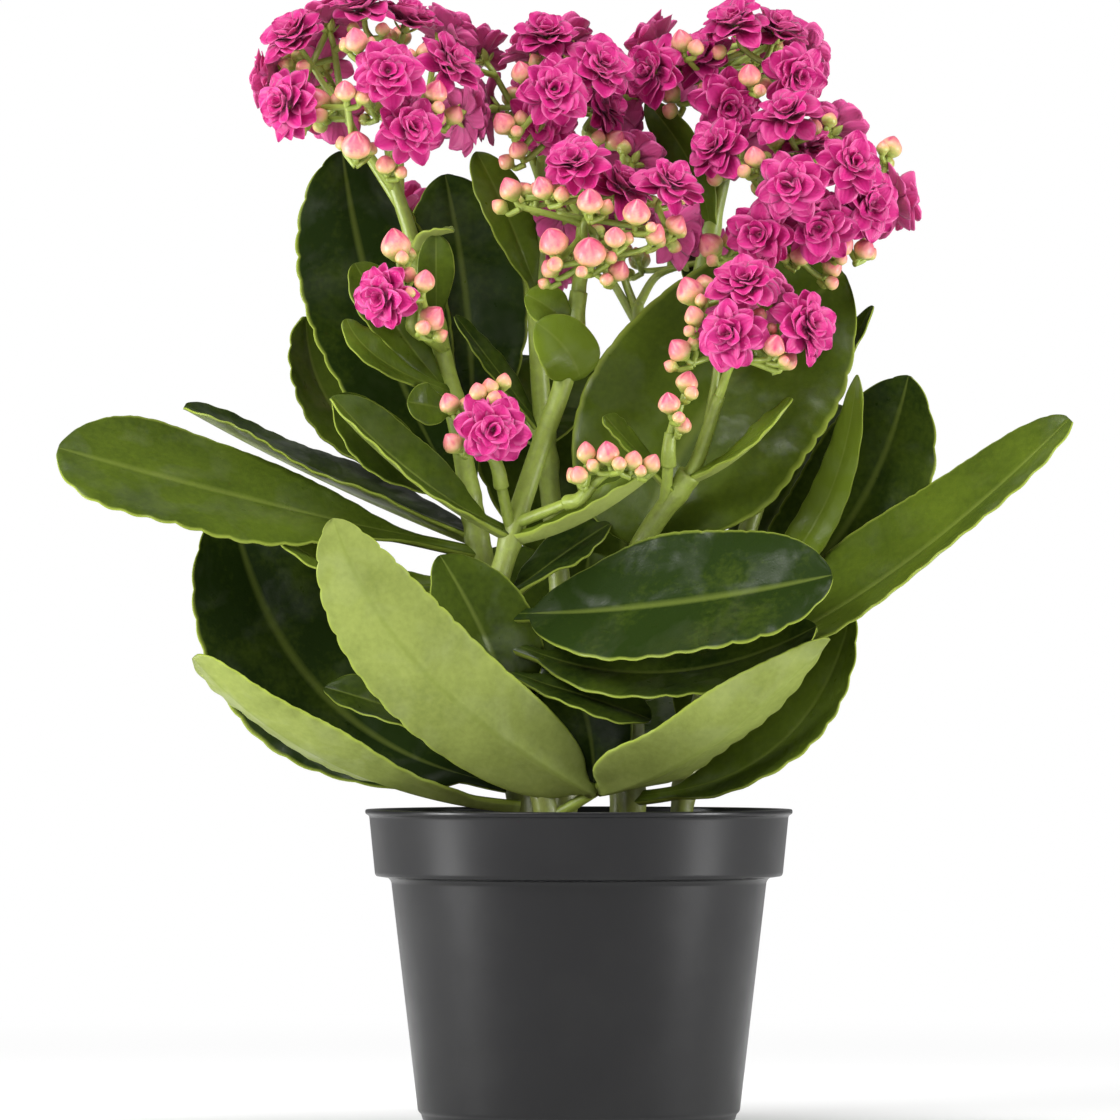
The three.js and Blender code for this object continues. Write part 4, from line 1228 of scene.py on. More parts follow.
@dataclass(frozen=True)
class Bud:
    """A closed bud: a spindle that is fullest below its middle, with the edges of its wrapped petals
    as shallow grooves that wind round it. Its size is in shares of its radius, and a bud is ripe
    where its radius is past a few millimetres."""

    rows: int = 12
    columns: int = 16
    seams: int = 4
    wind: float = 1.5
    foot: float = -0.95
    long: float = 2.1
    wide: float = 1.12
    groove: float = 0.09
    ripe_from: float = 2.1
    ripe_over: float = 0.9

    def build(self, skin: Skin, flower: Flower) -> None:
        """Adds the bud: circles along its axis, whose radius is a skewed half wave.

        Args:
            skin: the mesh that it is added to.
            flower: where the bud is.
        """
        s = np.linspace(0.015, 0.985, self.rows)[:, None]
        turn = turns(self.columns)[None, :]
        seam = np.abs(np.cos(0.5 * self.seams * (turn + flower.spin) + self.wind * s)) ** 14
        swell = np.sin(np.pi * s**0.82) ** 0.62 * (1.0 - 0.24 * s**3)
        width = flower.radius * self.wide * swell * (1.0 - self.groove * seam * smooth(s, 0.2, 0.5))
        broad = np.sin(3.0 * turn + 4.0 * flower.spin + 2.5 * s)
        fine = np.sin(7.0 * turn + 9.0 * s)
        height = flower.radius * (self.foot + (self.long + 0.25 * draw(flower.number, 4)) * s)
        local = around(turn, width, 0.0, height)
        ripe = (flower.radius - self.ripe_from) / self.ripe_over + 0.4 * (draw(flower.number, 5) - 0.5)
        skin.add(
            flower.place(local),
            along=s,
            seam=seam * smooth(s, 0.3, 0.6),
            # waves round the bud that place the painted highlight streaks
            streak=0.5 + 0.3 * broad + 0.2 * fine,
            tone=np.clip(ripe, 0.0, 1.0),
        )


@dataclass(frozen=True)
class Cup:
    """The calyx of one kind of flower, in millimetres and degrees: where its tube ends above the
    bloom's or bud's middle, its sepals' length, the tube's end radius, the sepals' slope and how
    much it grows to their tips, and their half width as a share of their length."""

    top: float
    length: float
    wide: float
    slope: float
    steepening: float
    half: float


@dataclass(frozen=True)
class Calyx:
    """Four fleshy green sepals and the short tube that they hold, at the head of each stalk."""

    sepals: int = 4
    rows: int = 6
    columns: int = 6
    tube_sides: int = 8
    tube_foot: float = 0.85
    sepal_foot: float = 0.5
    half_thickness: float = 0.35
    tube_tone: float = 0.72
    sepal_tone: float = 0.8

    def cup(self, flower: Flower) -> Cup:
        """The calyx that a flower has: a short open one under a bloom, a deep one round a bud.

        Args:
            flower: the flower.

        Returns:
            Its sizes.
        """
        if flower.kind is Kind.BLOOM:
            return Cup(-0.02 * flower.radius, 4.2, 1.45, 28.0, 0.2, 0.3)
        return Cup(-0.45 * flower.radius, 1.35 * flower.radius, 0.86 * flower.radius, 50.0, 1.0, 0.36)

    def build(self, skin: Skin, flower: Flower) -> None:
        """Adds the tube, a widening limb, and the sepals, pointed lenses that spread from it.

        Args:
            skin: the mesh that they are added to.
            flower: the flower that they hold.
        """
        cup, neck = self.cup(flower), -flower.neck_share() * flower.radius
        s = np.linspace(0.02, 0.98, self.rows)
        path = flower.place(np.stack([0 * s, 0 * s, neck + (cup.top - neck) * s], axis=-1))
        radii = self.tube_foot + (cup.wide - self.tube_foot) * s**0.7
        skin.add(limb(path, radii, self.tube_sides), tone=self.tube_tone, along=s[:, None])
        s = s[None, :, None]
        bearing = flower.spin + turns(self.sepals)[:, None, None]
        phi = turns(self.columns)[None, None, :]
        slope = math.radians(cup.slope) + cup.steepening * s
        half = cup.half * cup.length * np.sin(np.pi * s**0.7) ** 0.8
        fleshy = self.half_thickness * np.sin(phi) * np.minimum(1.0, 4.0 * (1.02 - s))
        lift = fleshy + 0.25 * half * np.cos(phi) ** 2
        out = self.sepal_foot + cup.length * s * np.cos(slope) - lift * np.sin(slope)
        above = neck + cup.length * s * np.sin(slope) + lift * np.cos(slope)
        local = around(bearing, out, half * np.cos(phi), above)
        skin.add(flower.place(local), tone=self.sepal_tone, along=s)


@dataclass(frozen=True)
class Palette:
    """The materials that the plant's pieces share."""

    leaf: Finish
    stalk: Finish
    petal: Finish
    bud: Finish


@dataclass(frozen=True)
class Head:
    """A branched head: where its stalk leaves its stem, its foot, the centre and reach of its dome,
    its arms, and its flowers. Front blooms are (across, height) and front buds (across, height,
    radius) on the dome, and a rule adds far ones."""

    under: Triple
    foot: Triple
    centre: Triple
    reach: Triple
    arms: int
    blooms: list[Pair] = field(default_factory=list)
    buds: list[Triple] = field(default_factory=list)
    far: tuple[int, int] = (0, 0)

    BLOOM_RADIUS, FAR_BUD_RADIUS, SMALL_RADIUS = 9.8, 3.0, 3.0
    SPACING = 0.77
    STEPS_BACK, STEP_BACK = 40, 1.5
    FAR_TRIES = 30
    GOLDEN = 0.618
    FACING = (0.6, 0.5, 0.2)
    UPRIGHT = np.array([0.0, 0.2, 1.1])
    LOWEST_NOD = -0.3
    GAP = 0.3
    TWIN_TURN = 2.0 * math.pi / 3.0
    STALK_RADII, STALK_SIDES, STALK_PLACES, STALK_RIDGE = (2.2, 1.7), 14, 16, 0.04
    ARM_RADIUS, BRANCH_RADIUS, NECK_RADIUS = 1.4, 0.95, 0.8
    ARM_SIDES, PLACES_A_POINT = 8, 5
    STALK_TONE, ARM_TONE = 0.42, 0.5
    SPIN_SEED = 33

    def flowers(self, index: int, placed: list[Flower]) -> list[Flower]:
        """All flowers of the head: the front ones where they show, then the far ones by rule.

        Args:
            index: the head's number.
            placed: the flowers of all heads so far, which it adds to.

        Returns:
            The head's own flowers.
        """
        mine: list[Flower] = []
        centre, reach = np.array(self.centre, float), np.array(self.reach, float)

        def clear(place: np.ndarray, radius: float) -> bool:
            """Whether a place keeps clear of every flower so far."""
            return all(np.linalg.norm(f.centre - place) > self.SPACING * (f.radius + radius) for f in placed)

        def take(kind: Kind, place: np.ndarray, radius: float) -> None:
            """Puts a flower at a place.

            Args:
                kind: a bloom or a bud.
                place: its centre.
                radius: its radius.
            """
            spin = 2.0 * math.pi * draw(len(mine), index + self.SPIN_SEED)
            mine.append(Flower(kind, place, radius, spin, number=len(placed)))
            placed.append(mine[-1])

        def front(across: float, height: float, radius: float) -> np.ndarray:
            """A place on the dome's near side, moved back until it is clear.

            Args:
                across: its place along X.
                height: its height.
                radius: how much room it needs.

            Returns:
                The place.
            """
            u, w = (across - centre[0]) / reach[0], (height - centre[2]) / reach[2]
            near = centre[1] - reach[1] * math.sqrt(max(0.05, 1.0 - u * u - w * w))
            place = np.array([across, near, height])
            for _ in range(self.STEPS_BACK):
                if clear(place, radius):
                    break
                place[1] += self.STEP_BACK
            return place

        for across, height in self.blooms:
            radius = self.BLOOM_RADIUS * (0.94 + 0.1 * draw(across, 1))
            take(Kind.BLOOM, front(across, height, radius), radius)
        for across, height, radius in self.buds:
            take(Kind.BUD, front(across, height, radius), radius)
        for kind, wanted, radius in (
            (Kind.BLOOM, self.far[0], self.BLOOM_RADIUS),
            (Kind.BUD, self.far[1], self.FAR_BUD_RADIUS),
        ):
            found = 0
            for tries in range(self.FAR_TRIES):
                if found == wanted:
                    break
                number = tries + 7 * index
                rise = -0.25 + 1.1 * draw(number, 5)
                bearing = math.pi * (0.08 + 0.84 * ((number * self.GOLDEN) % 1))
                level = math.cos(rise)
                out = np.array([level * math.cos(bearing), level * math.sin(bearing), math.sin(rise)])
                place = centre + out * reach
                if clear(place, radius):
                    take(kind, place, radius)
                    found += 1
        return mine

    def axis(self, flower: Flower) -> np.ndarray:
        """The way a flower faces: out of the dome, along its stalk, to its side of the plant and up,
        and never nodding far. A bud stands more upright.

        Args:
            flower: the flower, with its route.

        Returns:
            The direction.
        """
        centre, reach = np.array(self.centre, float), np.array(self.reach, float)
        outward, forward, upward = self.FACING
        leaning = -forward if flower.centre[1] < centre[1] else forward
        out = unit((flower.centre - centre) / reach / reach)
        axis = out + outward * unit(flower.centre - flower.route[-1]) + np.array([0.0, leaning, upward])
        axis[2] = max(axis[2], self.LOWEST_NOD)
        axis = unit(axis)
        return unit(axis + self.UPRIGHT) if flower.kind is Kind.BUD else axis

    def route(self, flowers: list[Flower]) -> np.ndarray:
        """Gives every flower its stalk and its axis: flowers next to each other share an arm, which
        leaves the head's stalk at a height of its own.

        Args:
            flowers: the head's flowers.

        Returns:
            The hub, where the head's stalk ends.
        """
        foot, centre = np.array(self.foot, float), np.array(self.centre, float)
        start = foot + self.GAP * self.rise()
        hub = 0.5 * (start + centre)

        def bearing(flower: Flower) -> float:
            """The flower's turn about the hub, the far side after the near side."""
            turn = math.atan2(flower.centre[2] - hub[2], flower.centre[0] - hub[0])
            return turn + 2.0 * math.pi if flower.centre[1] > hub[1] else turn

        ordered = sorted(flowers, key=bearing)
        size = math.ceil(len(ordered) / self.arms)
        groups = [ordered[i : i + size] for i in range(0, len(ordered), size)]
        for row, group in enumerate(groups):
            origin = start + (0.95 - (0.7 * row) / len(groups)) * (hub - start)
            middle = np.mean([flower.centre for flower in group], axis=0)
            fork = 0.5 * (hub + middle)
            for place, flower in enumerate(group):
                share = 0.35 + (0.75 * place) / len(group)
                first, second = (origin, fork) if share < 0.5 else (fork, group[0].centre)
                branching = first + (2.0 * share - (share >= 0.5)) * (second - first)
                flower.route = [origin, fork] if place == 0 else [branching]
                flower.axis = self.axis(flower)
        return hub

    def rise(self) -> np.ndarray:
        """The direction in which the head's stalk leaves its foot."""
        return unit(np.array(self.foot, float) - np.array(self.under, float))

    def twins(self, flower: Flower) -> list[Flower]:
        """The smaller buds that share a bud's stalk, and those in the fork under a bloom: each leans
        to its own side and is turned a third of a turn from the last.

        Args:
            flower: a flower of the head.

        Returns:
            Its small neighbours.
        """
        blooming = flower.kind is Kind.BLOOM
        small = []
        for number in range(1 if blooming or flower.radius < self.SMALL_RADIUS else 2):
            seed = 3.0 * flower.number + number
            turn = flower.spin + (number + 0.5 * draw(seed, 41)) * self.TWIN_TURN
            side = np.array([math.cos(turn), math.sin(turn), 0.0]) @ flower.basis()
            radius = 1.5 + 0.8 * draw(seed, 42)
            apart = 0.72 * flower.radius if blooming else 0.95 * (flower.radius + radius)
            under = 0.62 if blooming else 0.55 + 0.5 * draw(seed, 43)
            centre = flower.centre + apart * side - under * flower.radius * flower.axis
            axis = unit(flower.axis + 0.5 * side)
            start = flower.neck() - (0.5 * flower.radius + 1.0) * flower.axis
            small.append(Flower(Kind.BUD, centre, radius, turn, flower.number, [start], axis))
        return small

    def build(self, name: str, index: int, placed: list[Flower], palette: Palette) -> None:
        """Builds the head in pieces of stalks, blooms and buds that stand for its solid.

        Args:
            name: the solid's name.
            index: the head's number.
            placed: the flowers of all heads so far.
            palette: the plant's materials.
        """
        flowers = self.flowers(index, placed)
        hub = self.route(flowers)
        foot, rise = np.array(self.foot, float), self.rise()
        stalks, blooms, buds = Skin(), Skin(), Skin()
        path = curve_through(np.array([foot - 2.0 * rise, foot + 3.0 * rise, hub]), self.STALK_PLACES)
        share = np.linspace(0.0, 1.0, len(path))
        radii = self.STALK_RADII[0] + (self.STALK_RADII[1] - self.STALK_RADII[0]) * share
        rings = limb(path, radii, self.STALK_SIDES, self.STALK_RIDGE)
        stalks.add(rings, tone=self.STALK_TONE, along=share[:, None])
        for flower in [*flowers, *(twin for flower in flowers for twin in self.twins(flower))]:
            below = flower.neck() - 0.4 * flower.radius * flower.axis
            points = np.array([*flower.route, below, flower.neck()])
            path = curve_through(points, self.PLACES_A_POINT * len(points))
            share = np.linspace(0.0, 1.0, len(path))
            thick = self.ARM_RADIUS if len(flower.route) == 2 else self.BRANCH_RADIUS
            rings = limb(path, thick + (self.NECK_RADIUS - thick) * share**0.8, self.ARM_SIDES)
            stalks.add(rings, tone=self.ARM_TONE, along=share[:, None])
            Calyx().build(stalks, flower)
            if flower.kind is Kind.BLOOM:
                Bloom().build(blooms, flower)
            else:
                Bud().build(buds, flower)
        stalks.make(name + "_stalks", palette.stalk, "foliage", [name])
        if blooms.count:
            blooms.make(name + "_blooms", palette.petal, "petal", [name])
        buds.make(name + "_buds", palette.bud, "petal", [name])


HEADS = {
    "flower_head_top_left": Head(
        (-44, -1, 240), (-47, -2, 252), (-60, -3, 292), (30, 26, 26), 5,
        blooms=[(-61, 317), (-71, 314), (-48, 314), (-37, 310), (-80, 308), (-53, 297), (-86, 298),
                (-73, 302), (-81, 289), (-47, 282), (-36, 300)],
        buds=[(-62, 306, 3.2), (-73, 290, 3.4), (-65, 292, 2.8), (-43, 304, 2.6), (-40, 292, 3.1),
              (-35, 286, 2.6), (-62, 277, 3.9), (-54, 272, 2.6)],
        far=(3, 3),
    ),
    "flower_head_top_centre": Head(
        (-12, 9, 250), (-11, 8, 262), (-9, 9, 292), (25, 22, 21), 4,
        blooms=[(-9, 309), (-13, 306), (-28, 306), (-3, 309), (6, 300), (-26, 290), (7, 290), (-7, 293),
                (-10, 285)],
        buds=[(-16, 298, 2.8), (0, 300, 2.6), (-21, 284, 3), (-17, 277, 2.6), (10, 280, 2.8)],
        far=(2, 2),
    ),
    "flower_head_centre": Head(
        (-1, -10, 226), (0, -9, 237), (6, -13, 258), (26, 20, 20), 5,
        blooms=[(25, 266), (12, 266), (-1, 272), (16, 276)],
        buds=[(-19, 265, 3), (-10, 265, 3), (3, 261, 3.4), (16, 258, 3.6), (21, 252, 2.8), (27, 255, 2.8),
              (-7, 250, 3.8), (3, 247, 4.2), (10, 251, 2.8), (-8, 243, 2.6), (11, 242, 2.8)],
        far=(2, 2),
    ),
    "flower_head_top_right": Head(
        (40, 26, 266), (42, 24, 276), (45, 15, 302), (27, 18, 15), 4,
        blooms=[(44, 313), (56, 312), (35, 304), (21, 300), (64, 306), (61, 298), (51, 304), (42, 290)],
        buds=[(29, 308, 2.8), (39, 294, 2.8), (48, 298, 3), (26, 294, 2.8)],
        far=(2, 2),
    ),
    "flower_head_right": Head(
        (59, 20, 226), (60, 18, 238), (62, -2, 268), (30, 22, 23), 5,
        blooms=[(51, 253), (59, 266), (76, 272), (81, 261), (89, 263), (67, 255), (58, 286), (64, 278),
                (39, 277)],
        buds=[(49, 274, 2.8), (55, 280, 2.8), (37, 250, 3.4), (62, 247, 2.8), (74, 250, 2.8), (80, 249, 2.8),
              (71, 244, 2.8)],
        far=(3, 2),
    ),
    "flower_head_lower_right": Head(
        (26, -12, 178), (31, -14, 186), (47, -22, 229), (19, 16, 14), 2,
        blooms=[(42, 224), (63, 227), (46, 238), (53, 235)],
        buds=[(31, 236, 3.6), (32, 229, 2.6), (28, 220, 3.1), (54, 221, 3.1), (58, 217, 2.6)],
        far=(1, 1),
    ),
    "flower_spray_left": Head(
        (-41, -6, 223), (-45, -12, 226), (-47, -19, 238), (9, 8, 12), 2,
        blooms=[(-54, 235)],
        buds=[(-51, 249, 3.9), (-43, 239, 2.8), (-41, 229, 3.4)],
    ),
    "flower_spray_lower_left": Head(
        (-21, -16, 178), (-22, -20, 184), (-27, -25, 200), (10, 8, 11), 2,
        blooms=[(-24, 198)],
        buds=[(-36, 205, 2.8), (-35, 194, 2.8), (-28, 208, 2.4), (-21, 211, 2.2)],
    ),
    "bud_spray_front": Head(
        (-6, -20, 177), (-2, -24, 178), (9, -29, 187), (13, 7, 6), 2,
        buds=[(8, 191, 3.1), (15, 189, 2.5), (20, 188, 2.4), (2, 191, 2.6), (0, 185, 2.4)],
    ),
    "bud_spray_right": Head(
        (25, -18, 187), (25, -20, 190), (26, -25, 204), (6, 5, 8), 1,
        buds=[(30, 211, 2.9), (25, 205, 2.9), (29, 199, 2.2)],
    ),
}


@dataclass(frozen=True)
class FarHead:
    """A head of the far side: the stem that carries it, the height where its twig leaves, its foot,
    the centre and reach of its dome, and how many blooms and buds it has."""

    stem: str
    height: float
    foot: Triple
    centre: Triple
    reach: Triple
    blooms: int
    buds: int

    ARMS = 3

    def twig(self) -> tuple[Triple, Triple]:
        """The two ends of the twig that carries it."""
        return tuple(STEMS[self.stem].at(self.height)), self.foot

    def head(self) -> Head:
        """The same head, with flowers by rule alone."""
        under, far = self.twig()[0], (self.blooms, self.buds)
        return Head(under, self.foot, self.centre, self.reach, self.ARMS, far=far)


FAR_HEADS = {
    "flower_head_back_left": FarHead(
        "leafy_stem_back", 196, (-30, 34, 222), (-36, 40, 250), (22, 18, 18), 5, 5
    ),
    "flower_head_back_right": FarHead(
        "leafy_stem_top_right", 196, (18, 44, 222), (16, 48, 250), (24, 18, 18), 5, 5
    ),
}


def rounded(profile: list[tuple[float, float, float]], steps: int) -> np.ndarray:
    """A profile whose corners are rounded: each corner becomes a quadratic curve that starts and ends
    a given distance from it.

    Args:
        profile: radius, height and rounding distance of each corner, in order.
        steps: how many pieces a rounded corner has.

    Returns:
        The places of the rounded profile.
    """
    corners = np.array(profile, float)
    places = [corners[0, :2]]
    for before, here, after in zip(corners[:-2], corners[1:-1], corners[2:]):
        to_before, to_after = before[:2] - here[:2], after[:2] - here[:2]
        reach = min(here[2], 0.45 * np.linalg.norm(to_before), 0.45 * np.linalg.norm(to_after))
        start, end = here[:2] + reach * unit(to_before), here[:2] + reach * unit(to_after)
        t = np.linspace(0.0, 1.0, steps + 1)[:, None]
        places.extend((1 - t) ** 2 * start + 2 * t * (1 - t) * here[:2] + t**2 * end)
    places.append(corners[-1, :2])
    return np.array(places)


def turned(profile: np.ndarray, columns: int) -> tuple[np.ndarray, np.ndarray]:
    """A profile turned about the upright axis.

    Args:
        profile: radius and height of its places.
        columns: how many places a ring has.

    Returns:
        The rings, and the turn of each column.
    """
    turn = turns(columns)[None, :]
    return around(turn, profile[:, :1], 0.0, profile[:, 1:]), turn


@dataclass(frozen=True)
class NurseryPot:
    """The moulded pot: a thin shell with a small lip, a collar, a tapered body, a raised drain
    channel with four holes, and a foot ring that is cut into three low feet."""

    node: str = "nursery_pot"
    lip_radius: float = 60.0
    lip_top: float = 92.0
    lip_depth: float = 1.2
    collar_top: float = 58.9
    collar_foot: float = 57.3
    collar_height: float = 73.3
    body_top: float = 52.7
    body_foot: float = 45.2
    body_height: float = 7.4
    foot_radius: float = 44.2
    foot_width: float = 3.0
    arch_height: float = 5.0
    arch_half_angle: float = 0.85
    arch_ramp: float = 0.16
    feet: int = 3
    wall: float = 1.3
    disc: float = 24.0
    channel: float = 3.0
    holes: int = 4
    hole_radius: float = 4.0
    hole_place: float = 33.0
    columns: int = 192

    CORNER_STEPS = 5
    SHARPEST = 50.0
    DRILL_HEIGHTS, DRILL_SIDES = (-2.0, 5.0, 12.0), 32

    def profile(self) -> np.ndarray:
        """The pot's profile, with rounded corners.

        Returns:
            Its places, from the middle of the base over the lip to the middle of the floor.
        """
        ring = self.foot_radius - self.foot_width
        inner = self.wall
        return rounded(
            [
                (0.5, 0.0, 0.0),
                (self.disc, 0.0, 0.5),
                (self.disc + 2.0, self.channel, 0.5),
                (ring - 1.0, self.channel, 0.5),
                (ring, 0.0, 0.4),
                (self.foot_radius - 0.4, 0.0, 0.5),
                (self.foot_radius, self.body_height - 1.0, 0.4),
                (self.body_foot, self.body_height, 0.7),
                (self.body_top, self.collar_height - 1.6, 0.5),
                (self.body_top + 0.8, self.collar_height - 0.5, 0.6),
                (self.collar_foot - 0.3, self.collar_height, 0.6),
                (self.collar_foot, self.collar_height + 0.8, 0.5),
                (self.collar_top, self.lip_top - self.lip_depth - 0.6, 0.6),
                (self.lip_radius, self.lip_top - self.lip_depth, 0.4),
                (self.lip_radius, self.lip_top, 0.5),
                (self.collar_top - inner, self.lip_top, 0.6),
                (self.collar_foot - inner, self.collar_height + inner + 1.0, 0.8),
                (self.body_top - inner, self.collar_height + 0.4, 0.8),
                (self.body_foot - inner, self.body_height + inner, 1.0),
                (ring - 1.0, self.channel + inner + 0.6, 0.8),
                (self.disc + 1.0, self.channel + inner, 0.5),
                (self.disc - 1.0, inner, 0.5),
                (0.5, inner, 0.0),
            ],
            self.CORNER_STEPS,
        )

    def build(self, plastic: Finish) -> None:
        """Builds the shell, lifts the foot ring into arches, and cuts the drain holes.

        Args:
            plastic: its finish.
        """
        profile = self.profile()
        rings, turn = turned(profile, self.columns)
        spacing = 2.0 * np.pi / self.feet
        apart = np.abs((turn + 0.5 * np.pi + 0.5 * spacing) % spacing - 0.5 * spacing)
        ramp_start = self.arch_half_angle - self.arch_ramp
        arch = self.arch_height * (1.0 - smooth(apart, ramp_start, self.arch_half_angle))
        ring_start = self.foot_radius - self.foot_width - 0.7
        on_ring = (profile[:, 0] > ring_start) & (profile[:, 1] < self.arch_height)
        rings[..., 2] = np.where(on_ring[:, None], np.maximum(rings[..., 2], arch), rings[..., 2])
        shell = Skin()
        shell.add(rings)
        piece = shell.make(self.node + "_shell", plastic, "pot_plastic", [self.node])
        self.drill(piece)
        piece.data.set_sharp_from_angle(angle=math.radians(self.SHARPEST))

    def drill(self, piece: bpy.types.Object) -> None:
        """Cuts the drain holes through the channel by an exact difference with upright limbs.

        Args:
            piece: the shell.
        """
        pegs = Skin()
        for number in range(self.holes):
            turn = 2.0 * math.pi * (number + 0.5) / self.holes
            across, away = self.hole_place * math.cos(turn), self.hole_place * math.sin(turn)
            path = np.array([[across, away, height] for height in self.DRILL_HEIGHTS])
            pegs.add(limb(path, np.full(len(path), self.hole_radius), self.DRILL_SIDES))
        cutter = bpy.data.objects.new("drill", pegs.mesh("drill"))
        bpy.context.scene.collection.objects.link(cutter)
        modifier = piece.modifiers.new("drill", "BOOLEAN")
        modifier.operation = "DIFFERENCE"
        modifier.solver = "EXACT"
        modifier.object = cutter
        graph = bpy.context.evaluated_depsgraph_get()
        drilled = bpy.data.meshes.new_from_object(piece.evaluated_get(graph))
        piece.modifiers.clear()
        piece.data = drilled
        bpy.data.objects.remove(cutter)


@dataclass(frozen=True)
class PottingSoil:
    """The peat: a plug with an uneven crumbled top, loose crumbs and short fibres."""

    node: str = "potting_soil"
    gap: float = 0.3
    top: float = 84.0
    floor: float = 1.6
    columns: int = 120
    crumbs: int = 620
    fibres: int = 70
    reach: float = 54.5

    CORNER_STEPS, TOP_RINGS = 3, 56
    EARTH_TONE, FIBRE_TONE = 0.35, 0.95
    CRUMB_ROWS, CRUMB_COLUMNS, CRUMB_HEIGHT, CRUMB_SUNK = 6, 9, 0.75, 0.25
    FIBRE_PLACES, FIBRE_SIDES, FIBRE_LIFT, FIBRE_BEND = 5, 6, 0.5, 0.5
    FIBRE_REACH = 0.94

    def height(self, across: np.ndarray, away: np.ndarray) -> np.ndarray:
        """The top's height: two broad swells, and four finer ones at odd angles.

        Args:
            across: places along X.
            away: places along Y.

        Returns:
            The height at each place.
        """
        height = self.top + 1.6 * np.sin(0.31 * across + 1.0) * np.cos(0.27 * away)
        height = height + 0.8 * np.sin(0.7 * across - 0.5 * away)
        for layer in range(1, 5):
            angle, pitch = 2.4 * layer, 0.75 * 1.6**layer
            run = across * math.cos(angle) + away * math.sin(angle)
            height = height + 0.55 / layer * np.sin(pitch * run + 3.0 * np.sin(0.4 * pitch * (across - away)))
        edge = np.hypot(across, away)
        return height + 0.9 * smooth(edge, 44.0, 54.0) - 0.5

    def build(self, pot: NurseryPot, peat: Finish) -> None:
        """Builds the plug inside the pot, then lays crumbs and fibres on its top.

        Args:
            pot: the pot that holds it.
            peat: its finish.
        """
        skin = Skin()
        self.plug(skin, pot)
        self.lay_crumbs(skin)
        for number in range(self.fibres):
            self.lay_fibre(skin, number)
        skin.make(self.node + "_peat", peat, "peat", [self.node])

    def plug(self, skin: Skin, pot: NurseryPot) -> None:
        """Adds the plug: it follows the pot's inside with a small gap, up to the uneven top.

        Args:
            skin: the mesh that it is added to.
            pot: the pot that holds it.
        """
        inner = pot.wall + self.gap
        side = rounded(
            [
                (0.5, self.floor, 0.0),
                (pot.disc - 1.3, self.floor, 0.4),
                (pot.disc + 0.6, pot.channel + inner + 0.1, 0.4),
                (pot.foot_radius - pot.foot_width - 1.2, pot.channel + inner + 0.9, 0.6),
                (pot.body_foot - inner - 0.2, pot.body_height + inner + 0.6, 0.6),
                (pot.body_top - inner - 0.2, pot.collar_height + 1.0, 0.6),
                (pot.collar_foot - inner - 0.3, pot.collar_height + inner + 1.4, 0.6),
                (pot.collar_foot - inner + 0.2, self.top, 0.3),
            ],
            self.CORNER_STEPS,
        )
        radii = np.linspace(side[-1, 0], 0.5, self.TOP_RINGS)
        top = np.stack([radii, np.full(self.TOP_RINGS, self.top)], axis=-1)[1:]
        rings, _ = turned(np.concatenate([side, top]), self.columns)
        surface = slice(len(side) - 1, None)
        rings[surface, :, 2] = self.height(rings[surface, :, 0], rings[surface, :, 1])
        skin.add(rings, tone=self.EARTH_TONE)

    def lay_crumbs(self, skin: Skin) -> None:
        """Adds the loose crumbs: small lumps of odd shapes, spread evenly over the top.

        Args:
            skin: the mesh that they are added to.
        """
        turn, away = 2.0 * np.pi * draws(self.crumbs, 1), self.reach * np.sqrt(draws(self.crumbs, 2))
        x, y = away * np.cos(turn), away * np.sin(turn)
        size = 0.45 + 1.5 * draws(self.crumbs, 3) ** 2.5
        middle = np.stack([x, y, self.height(x, y) + self.CRUMB_SUNK * size], axis=-1)[:, None, None]
        s = np.linspace(0.08, 0.92, self.CRUMB_ROWS)[None, :, None] * np.pi
        phi = turns(self.CRUMB_COLUMNS)[None, None, :]
        odd = 2.0 * np.pi * draws(self.crumbs, 4)[:, None, None]
        lump = size[:, None, None] * (1.0 + 0.22 * np.sin(3.0 * phi + odd) * np.sin(2.0 * s + odd))
        stretch = 0.65 + 0.7 * draws(self.crumbs, 5)[:, None, None]
        across, away = (lump * np.sin(s) * wave for wave in (np.cos(phi + odd), np.sin(phi + odd)))
        height = self.CRUMB_HEIGHT * lump * np.cos(s) + 0 * phi
        local = np.stack([across * stretch, away, height], axis=-1)
        skin.add(middle + local, tone=0.1 + 0.65 * draws(self.crumbs, 6)[:, None, None])

    def lay_fibre(self, skin: Skin, number: int) -> None:
        """Adds one short bent fibre, kept within the top's edge.

        Args:
            skin: the mesh that it is added to.
            number: its number, for its draws.
        """
        angle, lay = (2.0 * math.pi * draw(number, kind) for kind in (31, 33))
        away = self.FIBRE_REACH * self.reach * math.sqrt(draw(number, 32))
        long = 3.0 + 7.0 * draw(number, 34)
        start = np.array([away * math.cos(angle), away * math.sin(angle)])
        along = np.linspace(-0.5, 0.5, self.FIBRE_PLACES)[:, None]
        run = along * long * np.array([math.cos(lay), math.sin(lay)])
        run[:, 1] += self.FIBRE_BEND * np.sin(np.linspace(0.0, 3.0, self.FIBRE_PLACES))
        flat = start + run
        flat = flat * np.minimum(1.0, self.reach / np.maximum(np.hypot(*flat.T), 1.0))[:, None]
        path = np.column_stack([flat, self.height(flat[:, 0], flat[:, 1]) + self.FIBRE_LIFT])
        radii = np.full(self.FIBRE_PLACES, 0.16 + 0.22 * draw(number, 35))
        skin.add(limb(path, radii, self.FIBRE_SIDES), tone=self.FIBRE_TONE)


